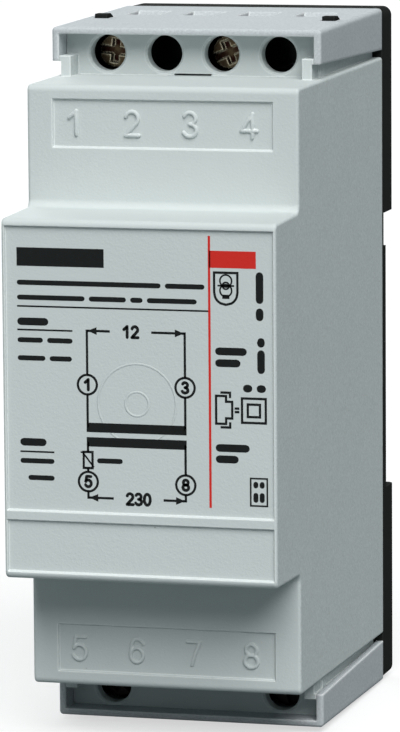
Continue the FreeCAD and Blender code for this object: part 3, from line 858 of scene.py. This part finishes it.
# Pad-printed inks: thin and dull, so that the grain of the plastic shows through.
INK_BLACK = MouldedPlastic(
    "pad_ink_black", "#1A1C1C", "#232525", patch_mm=0.5, roughness=0.7, specular=0.04, grain_mm=0.2,
    edge_mm=0.005)
INK_RED = MouldedPlastic(
    "pad_ink_red", "#C41F18", "#CE2A20", patch_mm=0.35, roughness=0.6, specular=0.3, grain_mm=0.2,
    edge_mm=0.005)


def dress(nodes: tuple[str, ...], material: bpy.types.Material) -> None:
    """Give pieces of the frame their finish.

    Args:
        nodes: names of the pieces.
        material: the finish.
    """
    for name in nodes:
        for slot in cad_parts[name].material_slots:
            slot.material = material
        LOG.info("%s: %s", name, material.name)


# Sub-assemblies

@dataclass
class Housing:
    """Grey shell and hoods, with the raised numbers of the terminals and the rings of the moulding gate.

    Args:
        number_height_mm: height of a number's middle lines.
        number_shift_mm: how far the numbers stand off their terminals.
        number_pen: bead that the numbers are made of.
        number_z_mm: middle of the upper numbers; the lower ones mirror it.
        gate_mm: place of the moulding gate.
        gate_rings_mm: radius and height of the witness rings round it.
        gate_ridge_mm: width of a ring's ridge.
    """

    number_height_mm: float = 2.95
    number_shift_mm: float = -0.2
    number_pen: Pen = Pen(Section.BEAD, 0.54, 0.3, 0.1, rounded=True)
    number_z_mm: float = 33.38
    gate_mm: Pair = (-0.31, -0.14)
    gate_rings_mm: tuple[Pair, ...] = ((1.5, 0.022), (5.0, 0.007))
    gate_ridge_mm: float = 0.3

    def terminal_places(self) -> list[float]:
        """Middles of the four terminals across the width, in millimetres."""
        first, third = (sum(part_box(f"clamp_cage_{k}"), Vector()).x / 2 / MM for k in (1, 3))
        return [first + (third - first) / 2 * k for k in range(4)]

    def numbers(self, row: str, z_mm: float) -> list[Shell]:
        """Beads of one row of numbers.

        Args:
            row: the four digits.
            z_mm: middle of the row.

        Returns:
            The strokes.
        """
        shells = []
        for digit, x in zip(row, self.terminal_places()):
            place = x + self.number_shift_mm
            # Beside the digit, where its field is bare
            clear = x + 2 * self.number_height_mm / 3
            floor = surface_depth("front_shell", clear, z_mm)
            shells += write_digits(digit, self.number_pen, self.number_height_mm, place, z_mm, floor)
        return shells

    def gate_rings(self) -> list[Shell]:
        """Faint ridges round the gate: circles on the floor of the front field.

        Returns:
            One ridge for each ring.
        """
        x, z = self.gate_mm
        floor = surface_depth("front_shell", x, z)
        shells = []
        for radius, rise in self.gate_rings_mm:
            pen = Pen(Section.BEAD, self.gate_ridge_mm, rise, self.number_pen.sunk_mm)
            shells.append(pen.draw(oval(x, z, radius, radius, 0.0).trace(), floor, True))
        return shells

    def build(self) -> None:
        """Dress the shells, then add the numbers and the rings."""
        grey = HOUSING_GREY.material()
        dress(("front_shell",), grey)
        dress(("upper_terminal_cover", "lower_terminal_cover"), HOOD_GREY.material())
        for name, row, way in (("upper_numbers", "1234", 1), ("lower_numbers", "5678", -1)):
            beads = self.numbers(row, way * self.number_z_mm)
            make_piece(name, beads, grey, "housing")
        plain = replace(HOUSING_GREY, name="polycarbonate_gate_grey", wear_and_highlight="").material()
        make_piece("gate_rings", self.gate_rings(), plain, "housing")


INK_RISE_MM, INK_SUNK_MM = 0.012, 0.02


def ink_pen(width_mm: float, rounded: bool = False) -> Pen:
    """Pen that lays a thin film of ink."""
    return Pen(Section.INK, width_mm, INK_RISE_MM, INK_SUNK_MM, rounded)


@dataclass
class PrintedFront:
    """Print on the raised front: a wiring diagram with numbered terminals, rules, bars and a red margin.

    Lines of words are plain bars. Places are millimetres across the width and along the height.

    Args:
        left_mm: left margin of the print.
        margin_mm: place of the red line across the width.
        line_pen: lines of the diagram and the red line.
        thin_pen: rules and small signs.
        word_pen: bars that stand for words.
        bold_pen: bars that stand for headings.
        digit_pen: strokes of the digits.
        word_gap_mm: space between two words.
        terminals_mm: left and right legs of the diagram.
        ring_mm: radius of a numbered ring.
        ring_height_mm: middle of the upper and of the lower rings.
        ring_digit_mm: height of the digit in a ring.
        arrow_height_mm: height of the upper and of the lower dimension line.
        arrow_mm: length and width of an arrow head.
        arrow_tip: width of its tip, as a share.
        figure_mm: height of the figures in the dimension lines.
        core_mm: middles of the two core bars.
        core_thickness_mm: thickness of a core bar.
        resistor_mm: upper and lower end of the resistor's box.
        resistor_half_mm: half the width of that box.
    """

    left_mm: float = -15.6
    margin_mm: float = 9.0
    line_pen: Pen = ink_pen(0.3)
    thin_pen: Pen = ink_pen(0.21)
    word_pen: Pen = ink_pen(0.62, rounded=True)
    bold_pen: Pen = ink_pen(0.95, rounded=True)
    digit_pen: Pen = ink_pen(0.38, rounded=True)
    word_gap_mm: float = 0.55
    terminals_mm: Pair = (-6.65, 5.85)
    ring_mm: float = 1.22
    ring_height_mm: Pair = (2.1, -10.0)
    ring_digit_mm: float = 1.28
    arrow_height_mm: Pair = (8.8, -12.0)
    arrow_mm: Pair = (1.1, 0.95)
    arrow_tip: float = 0.05
    figure_mm: float = 1.35
    core_mm: Pair = (-3.22, -5.02)
    core_thickness_mm: float = 1.17
    resistor_mm: Pair = (-6.3, -8.3)
    resistor_half_mm: float = 0.57

    def floor(self) -> float:
        """Depth of the field that carries the print."""
        return surface_depth("front_shell", self.left_mm, 0.0)

    def line(self, pen: Pen, *corners: Pair) -> Shell:
        """One line through corners."""
        return pen.draw(Run(corners).trace(), self.floor())

    def loop(self, pen: Pen, *corners: Pair) -> Shell:
        """Closed line through corners."""
        return pen.draw(Run(corners).trace(), self.floor(), True)

    def block(self, x0: float, x1: float, z0: float, z1: float) -> Shell:
        """Filled rectangle between two corners."""
        middle = (z0 + z1) / 2
        return self.line(ink_pen(z1 - z0), (x0, middle), (x1, middle))

    def outline(self, pen: Pen, x0: float, x1: float, z0: float, z1: float) -> Shell:
        """Rectangle of lines between two corners."""
        return self.loop(pen, (x0, z1), (x1, z1), (x1, z0), (x0, z0))

    def ring(self, x: float, z: float, radius: float, pen: Pen) -> Shell:
        """Circle about a point."""
        return pen.draw(oval(x, z, radius, radius, 0.0).trace(), self.floor(), True)

    def words(self, pen: Pen, start: Pair, end: Pair, lengths: tuple[int, ...]) -> list[Shell]:
        """Bars in place of a line of words.

        The line's length, less the gaps, is shared out in proportion to the words' lengths.

        Args:
            pen: bar of a word.
            start: where the line starts.
            end: where the line ends.
            lengths: length of each word, in letters.

        Returns:
            One bar for each word.
        """
        origin, reach = np.array(start), np.subtract(end, start)
        length = np.linalg.norm(reach)
        way = reach / length
        half = pen.width_mm / 2
        sizes = (length - self.word_gap_mm * (len(lengths) - 1)) * np.array(lengths) / sum(lengths)
        firsts = np.concatenate([[0], np.cumsum(sizes + self.word_gap_mm)[:-1]])
        bars = zip(firsts + half, firsts + sizes - half)
        return [self.line(pen, origin + way * a, origin + way * b) for a, b in bars]

    def arrow(self, x: float, z: float, way: float) -> Shell:
        """Arrow head with its tip at a point.

        Args:
            x: tip across the width.
            z: tip along the height.
            way: 1 points right, -1 points left.

        Returns:
            The head.
        """
        length, width = self.arrow_mm
        path = Run(((x - way * length, z), (x, z))).trace()
        return ink_pen(width).draw(path, self.floor(), taper=self.arrow_tip)

    def diagram(self) -> list[Shell]:
        """Wiring diagram: two windings over a core, with a numbered ring at each end.

        Returns:
            The strokes.
        """
        left, right = self.terminals_mm
        upper, lower = self.ring_height_mm
        top, bottom = self.arrow_height_mm
        secondary, primary = self.core_mm
        ring, pen = self.ring_mm, self.line_pen
        half, edge = self.core_thickness_mm / 2, pen.width_mm / 2
        shells = [self.block(left - edge, right + edge, z - half, z + half) for z in self.core_mm]
        legs = [
            (left, primary, self.resistor_mm[0]),
            (left, self.resistor_mm[1], lower + ring),
            (right, primary, lower + ring),
        ]
        for x in (left, right):
            legs += [(x, top + edge, upper + ring), (x, upper - ring, secondary)]
            legs.append((x, lower - ring, bottom - edge))
        shells += [self.line(pen, (x, z0), (x, z1)) for x, z0, z1 in legs]
        rings = (("1", left, upper), ("3", right, upper), ("5", left, lower), ("8", right, lower))
        for digit, x, z in rings:
            shells.append(self.ring(x, z, ring, pen))
            shells += write_digits(digit, self.digit_pen, self.ring_digit_mm, x, z, self.floor())
        for number, z, start, end in (("12", top, -3.7, 1.6), ("230", bottom, -3.4, 3.0)):
            shells += [self.line(pen, (left, z), (start, z)), self.line(pen, (end, z), (right, z))]
            shells += [self.arrow(left + edge, z, -1), self.arrow(right - edge, z, 1)]
            middle = (start + end) / 2
            shells += write_digits(number, self.digit_pen, self.figure_mm, middle, z, self.floor())
        return shells + self.resistor(left)

    def resistor(self, x: float) -> list[Shell]:
        """Sign of a resistor with a slash: a box, a slanting line and its foot.

        Args:
            x: middle of the box.

        Returns:
            The strokes.
        """
        top, bottom = self.resistor_mm
        half = self.resistor_half_mm
        slash = ((x - 0.95, top - 0.05), (x - 0.7, top - 0.05), (x + 0.75, bottom + 0.1))
        box = self.outline(self.line_pen, x - half, x + half, bottom, top)
        return [box, self.line(self.thin_pen, *slash)]

    def captions(self) -> list[Shell]:
        """Heading bar, lines of words with their rules, and the two captions at the left.

        Returns:
            The bars and the rules.
        """
        left = self.left_mm
        inset = left + 0.2
        lines = (
            (self.word_pen, left, 8.4, 14.6, (22, 6)),
            (self.word_pen, left, 7.4, 12.75, (11, 6, 2, 8)),
            (self.bold_pen, left, -11.6, 9.75, (4,)),
            (self.word_pen, left, -8.5, 7.45, (4, 4)),
            (self.word_pen, left, -8.6, 5.2, (5, 4)),
            (self.bold_pen, inset, -12.0, -5.3, (4,)),
            (self.word_pen, inset, -11.0, -7.65, (5,)),
            (self.word_pen, left + 1.2, -11.0, -9.75, (4,)),
            (self.word_pen, -5.5, -2.2, -7.35, (3,)),
        )
        shells = [self.block(left, -4.4, 16.65, 18.95)]
        for pen, x0, x1, z, lengths in lines:
            shells += self.words(pen, (x0, z), (x1, z), lengths)
        for x0, x1, z in ((left, 8.85, 11.65), (left, -8.5, 8.72), (inset, -11.0, -6.5)):
            shells.append(self.line(self.thin_pen, (x0, z), (x1, z)))
        return shells

    def side_captions(self) -> list[Shell]:
        """Bars of the right-hand column: two upright lines, short lines and a framed pair.

        Returns:
            The bars and the frame.
        """
        lines = (
            ((15.35, 10.6), (15.35, 16.6), (2, 5)),
            ((15.5, 4.1), (15.5, 8.3), (4, 1)),
            ((13.2, 2.25), (16.1, 2.25), (2, 2)),
            ((9.7, 6.75), (13.7, 6.75), (1,)),
            ((9.7, 5.3), (12.9, 5.3), (1,)),
            ((9.7, -5.2), (14.0, -5.2), (1,)),
            ((9.7, -6.6), (12.6, -6.6), (1,)),
        )
        shells = [bar for line in lines for bar in self.words(self.bold_pen, *line)]
        shells.append(self.outline(self.thin_pen, 14.1, 16.2, -12.25, -8.85))
        for x in (14.75, 15.55):
            shells += self.words(self.word_pen, (x, -11.85), (x, -9.25), (3, 2))
        return shells

    def shield(self) -> list[Shell]:
        """Sign of a transformer: two rings, a small one where they meet, a line across and a shield.

        Returns:
            The strokes.
        """
        pen, thin = self.line_pen, self.thin_pen
        x, z = 11.1, 14.83
        half, top, corner, tip = 1.47, 16.43, 14.0, 12.5
        lid = Run(((x - half, corner), (x - half, top), (x + half, top), (x + half, corner)))
        right, left = (Arc(x, corner, half, 1.5, angle, angle - 40) for angle in (-22, -118))
        edge = Stroke((lid, right, Run(((x, tip),)), left))
        rings = ((0.6, 0.74), (-0.6, 0.74), (0.0, 0.42))
        return [
            pen.draw(edge.trace(), self.floor(), True),
            *(self.ring(x, z + rise, radius, thin) for rise, radius in rings),
            self.line(thin, (x - 1.05, z), (x + 1.05, z)),
            self.outline(thin, x - 0.35, x + 0.35, z - 1.5, z - 1.2),
        ]

    def signs(self) -> list[Shell]:
        """Small signs: the shield, and a device in its case that equals two nested squares.

        Returns:
            The strokes.
        """
        pen = self.line_pen
        x, z = 14.56, -0.48
        shells = self.shield()
        shells += [self.outline(pen, x - half, x + half, z - half, z + half) for half in (1.5, 0.77)]
        back, step, front = 9.78, 11.04, 11.82
        tall, low, case, lip = 1.72, 1.03, 2.15, front - 0.27
        shells.append(self.loop(
            pen, (back, z + tall), (step, z + tall), (step, z + low), (front, z + low),
            (front, z - low), (step, z - low), (step, z - tall), (back, z - tall)))
        for way in (1, -1):
            bracket = (back + 0.55, z + way * case), (lip, z + way * case), (lip, z + way * 1.5)
            dash = (front + 0.3, z + way * 0.22), (front + 0.9, z + way * 0.22)
            shells += [self.line(pen, *bracket), self.line(pen, *dash)]
        return shells

    def red_margin(self) -> list[Shell]:
        """Red line along the right-hand column, and the block beside it."""
        x = self.margin_mm
        return [self.line(self.line_pen, (x, 20.9), (x, -12.7)), self.block(x, 14.9, 17.0, 19.1)]

    def build(self) -> None:
        """Print the black parts, then the red ones."""
        black = self.captions() + self.side_captions() + self.diagram() + self.signs()
        make_piece("print_black", black, INK_BLACK.material(), "housing")
        make_piece("print_red", self.red_margin(), INK_RED.material(), "housing")


@dataclass
class RearBase:
    """Black rear part, terminal blocks and rail latch, with the spring behind the latch.

    Args:
        strip_mm: thickness of the spring strip.
        bow_steps: points along its bow.
    """

    strip_mm: float = 0.35
    bow_steps: int = 49

    def spring(self) -> Shell:
        """Bowed strip: a rectangle carried along a half circle, x = r cos a and z = r sin a.

        Returns:
            The strip.
        """
        low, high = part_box("latch_spring")
        strip = self.strip_mm * MM
        radius = (high.x - low.x) / 2 - strip / 2
        angle = np.radians(np.linspace(0, 180, self.bow_steps))
        radial = np.column_stack([np.cos(angle), np.zeros(len(angle)), np.sin(angle)])
        middle = np.array([(low.x + high.x) / 2, (low.y + high.y) / 2, low.z])
        corners = SQUARE * [strip / 2, (high.y - low.y) / 2]
        across = np.tile(TO_RAIL, (len(angle), 1))
        return sweep(middle + radius * radial, radial, across, corners, np.ones(len(angle)))

    def build(self) -> None:
        """Dress the black mouldings and set the spring between its posts and the latch."""
        blocks = ("upper_terminal_block", "lower_terminal_block")
        dress(("base_plate", "rail_latch") + blocks, BASE_BLACK.material())
        piece = make_piece("latch_spring_strip", [self.spring()], SPRING_STEEL.material(), "housing")
        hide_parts("latch_spring")
        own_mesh(piece)


@dataclass
class Terminals:
    """Clamp screws, lift cages and contact bars, with the threads of the screws.

    Args:
        bell_side: terminals with a screw at the upper end.
        mains_side: terminals with a screw at the lower end.
        shank_mm: diameter of a shank.
        pitch_mm: pitch of its thread.
        ridge_mm: height of the thread's ridge over the shank.
        foot_mm: depth of its foot inside the shank.
        flank: half the width of its foot, in pitches.
        crest: width of its crest, as a share of the foot.
        run_out: size of the ridge at its very ends, as a share.
        turn_steps: points along one turn.
        head_mm: length of a head.
    """

    bell_side: tuple[int, ...] = (1, 3)
    mains_side: tuple[int, ...] = (5, 8)
    shank_mm: float = 3.5
    pitch_mm: float = 0.6
    ridge_mm: float = 0.09
    foot_mm: float = 0.06
    flank: float = 0.42
    crest: float = 0.1
    run_out: float = 0.1
    turn_steps: int = 28
    head_mm: float = 1.6

    def thread(self, number: int) -> Shell:
        """Ridge on one shank: a triangle along the helix x = r cos t, z = r sin t, y = pitch * t / 2 pi.

        Args:
            number: the terminal.

        Returns:
            The ridge, fading out at both ends.
        """
        low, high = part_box(f"terminal_screw_{number}")
        pitch = self.pitch_mm * MM
        start = low.y + (self.head_mm + self.pitch_mm) * MM
        turns = (high.y - start - pitch) / pitch
        t = np.linspace(0, turns * 2 * np.pi, int(turns * self.turn_steps))
        radial = np.column_stack([np.cos(t), np.zeros(len(t)), np.sin(t)])
        axial = np.tile(TO_RAIL, (len(t), 1))
        middle = np.array([(low.x + high.x) / 2, start, (low.z + high.z) / 2])
        centres = middle + self.shank_mm / 2 * MM * radial + axial * (pitch * t / (2 * np.pi))[:, None]
        foot, ridge, half = self.foot_mm * MM, self.ridge_mm * MM, self.flank * pitch
        top = self.crest * half
        profile = np.array([[-half, -foot], [half, -foot], [top, ridge], [-top, ridge]])
        fade = np.clip(np.minimum(t, t[-1] - t) / np.pi, self.run_out, 1.0)
        return sweep(centres, axial, radial, profile, fade)

    def build(self) -> None:
        """Dress the metal and cut the threads."""
        every = self.bell_side + self.mains_side
        dress(tuple(f"clamp_cage_{k}" for k in every), CAGE_STEEL.material())
        dress(tuple(f"contact_bar_{k}" for k in every), BAR_BRASS.material())
        # The mains screws take the darkened steel: painted shade for the deep holes that they sit in.
        for numbers, finish in ((self.bell_side, SCREW_STEEL), (self.mains_side, SCREW_SHADED)):
            steel = finish.material()
            dress(tuple(f"terminal_screw_{k}" for k in numbers), steel)
            for k in numbers:
                ridge = make_piece(f"screw_thread_{k}", [self.thread(k)], steel, f"screw_{k}")


@dataclass
class Core:
    """Iron core, its strap, the bobbin with two coils, and the leads."""

    def build(self) -> None:
        """Dress every piece inside the housing."""
        dress(("core_e_stack", "core_i_stack"), CORE_IRON.material())
        dress(("core_strap",), STRAP_STEEL.material())
        dress(("winding_bobbin",), BOBBIN_IVORY.material())
        dress(("secondary_winding", "primary_winding"), COIL_COPPER.material())
        dress(("secondary_tape", "primary_tape"), COIL_TAPE.material())
        dress(("secondary_lead_1", "secondary_lead_3", "primary_lead_8"), LEAD_SLEEVE.material())
        dress(("ptc_thermistor",), PTC_RESIN.material())


# Studio

@dataclass
class SoftLamp:
    """Wide lamp, far enough away to light the whole scene evenly.

    Args:
        name: what it is called.
        towards: direction from the object to the lamp.
        spread_deg: how wide it looks from the object.
        level: light that it gives on a surface that faces it, 1 for white on white.
    """

    name: str
    towards: tuple[float, float, float]
    spread_deg: float
    level: float

    def build(self) -> None:
        """Hang the lamp. Its strength is level * pi."""
        lamp = bpy.data.lights.new(self.name, "SUN")
        lamp.angle = np.radians(self.spread_deg)
        lamp.energy = self.level * np.pi
        holder = bpy.data.objects.new(self.name, lamp)
        direction = Vector(self.towards).normalized()
        holder.location = direction
        holder.rotation_euler = direction.to_track_quat("Z", "Y").to_euler()
        bpy.context.scene.collection.objects.link(holder)


@dataclass
class Studio:
    """Pale floor, white surroundings and soft lamps.

    Args:
        floor_size: edge of the floor.
        ambient: light of the surroundings on the object.
        ambient_colour: its colour, a little cool.
        seen_floor: colour of the floor as it is seen.
        bounce_floor: colour of the floor as it lights the object from below.
        glow: light added to the floor as it is seen, so that it is white outside the shadow.
        lamps: the soft lamps.
    """

    floor_size: float = 8.0
    ambient: float = 0.20
    ambient_colour: str = "#ECFBFF"
    seen_floor: str = "#AAAAAA"
    bounce_floor: str = "#737A7C"
    glow: float = 0.62
    lamps: tuple[SoftLamp, ...] = (
        SoftLamp("key_lamp", (0.26, -0.60, 0.74), 50.0, 1.06),
        SoftLamp("back_fill", (-0.62, 0.78, 0.02), 40.0, 1.5),
    )

    @staticmethod
    def seen(tree: Tree) -> Socket:
        """Tell which rays show the surroundings: to the camera, in gloss and through glass.

        Args:
            tree: nodes of the floor or of the world.

        Returns:
            1 for those rays and 0 for others.
        """
        path = add_node(tree, "ShaderNodeLightPath")
        gloss = add_node(
            tree, "ShaderNodeMath",
            {0: path.outputs["Is Glossy Ray"], 1: path.outputs["Is Transmission Ray"]}, operation="MAXIMUM")
        every = {0: path.outputs["Is Camera Ray"], 1: gloss.outputs[0]}
        return add_node(tree, "ShaderNodeMath", every, operation="MAXIMUM").outputs[0]

    def surroundings(self) -> None:
        """White world to look at, with a plain level of light on the object."""
        world = bpy.data.worlds.new("studio")
        world.use_nodes = True
        tree = world.node_tree
        seen = self.seen(tree)
        strength = add_node(
            tree, "ShaderNodeMapRange", {"Value": seen, "To Min": self.ambient, "To Max": 1.0})
        colours = {"Factor": seen, MIX_FIRST: linear(self.ambient_colour), MIX_SECOND: linear("#FFFFFF")}
        colour = add_node(tree, "ShaderNodeMix", colours, data_type="RGBA")
        background = tree.nodes["Background"]
        tree.links.new(colour.outputs[MIX_RESULT], background.inputs["Color"])
        tree.links.new(strength.outputs["Result"], background.inputs["Strength"])
        bpy.context.scene.world = world

    def floor(self) -> None:
        """Level floor under the lowest point: white where it is lit, pale grey in the shadow."""
        level = np.full(len(SQUARE), cad_bounds[0][2])
        points = np.column_stack([SQUARE * self.floor_size / 2, level])
        mesh = bpy.data.meshes.new("studio_floor")
        mesh.from_pydata(points.tolist(), [], [(0, 1, 2, 3)])
        material = bpy.data.materials.new("studio_floor")
        material.use_nodes = True
        tree = material.node_tree
        tree.nodes.clear()
        paper = add_node(tree, "ShaderNodeBsdfDiffuse", {"Color": linear(self.seen_floor)})
        glow = add_node(tree, "ShaderNodeEmission", {"Strength": self.glow})
        white = add_node(tree, "ShaderNodeAddShader", {0: paper.outputs[0], 1: glow.outputs[0]})
        dim = add_node(tree, "ShaderNodeBsdfDiffuse", {"Color": linear(self.bounce_floor)})
        inputs = {0: self.seen(tree), 1: dim.outputs[0], 2: white.outputs[0]}
        both = add_node(tree, "ShaderNodeMixShader", inputs)
        add_node(tree, "ShaderNodeOutputMaterial", {"Surface": both.outputs[0]})
        mesh.materials.append(material)
        stage = bpy.data.objects.new("studio_floor", mesh)
        bpy.context.scene.collection.objects.link(stage)

    def build(self) -> None:
        """Set the surroundings, the floor, the lamps and the plain view transform."""
        self.surroundings()
        self.floor()
        for lamp in self.lamps:
            lamp.build()
        bpy.context.scene.view_settings.view_transform = "Standard"


@dataclass
class Viewpoint:
    """Camera at the angle of the photograph.

    Args:
        azimuth_deg: how far it stands to the right of the front.
        elevation_deg: how far it looks down.
        roll_deg: how far it is tipped about its own axis.
        aim_mm: point that it looks at.
        distance_mm: distance to that point.
        lens_mm: focal length.
        film_mm: long side of the film.
    """

    azimuth_deg: float = 15.45
    elevation_deg: float = 8.0
    roll_deg: float = -0.41
    aim_mm: tuple[float, float, float] = (-6.90, -4.33, -2.88)
    distance_mm: float = 657.4
    lens_mm: float = 241.83
    film_mm: float = 36.0

    def build(self) -> None:
        """Set up the camera: it looks from the aim along (sin az cos el, -cos az cos el, sin el)."""
        azimuth, elevation, roll = np.radians([self.azimuth_deg, self.elevation_deg, self.roll_deg])
        back = Vector((
            np.sin(azimuth) * np.cos(elevation), -np.cos(azimuth) * np.cos(elevation), np.sin(elevation)))
        level = Vector((0, 0, 1)).cross(back).normalized()
        upright = back.cross(level)
        right = level * np.cos(roll) + upright * np.sin(roll)
        up = back.cross(right)
        data = bpy.data.cameras.new("photo_view")
        data.lens = self.lens_mm
        data.sensor_width = self.film_mm
        camera = bpy.data.objects.new("photo_view", data)
        place = Vector(self.aim_mm) * MM + back * (self.distance_mm * MM)
        camera.matrix_world = Matrix.Translation(place) @ Matrix((right, up, back)).transposed().to_4x4()
        bpy.context.scene.collection.objects.link(camera)
        bpy.context.scene.camera = camera


def main() -> None:
    """Build every sub-assembly, then the studio and the camera."""
    logging.basicConfig(level=logging.INFO, format="%(message)s")
    for assembly in (Housing(), PrintedFront(), RearBase(), Terminals(), Core(), Studio(), Viewpoint()):
        assembly.build()
        LOG.info("%s is ready", type(assembly).__name__)


if __name__ == "__main__":
    main()
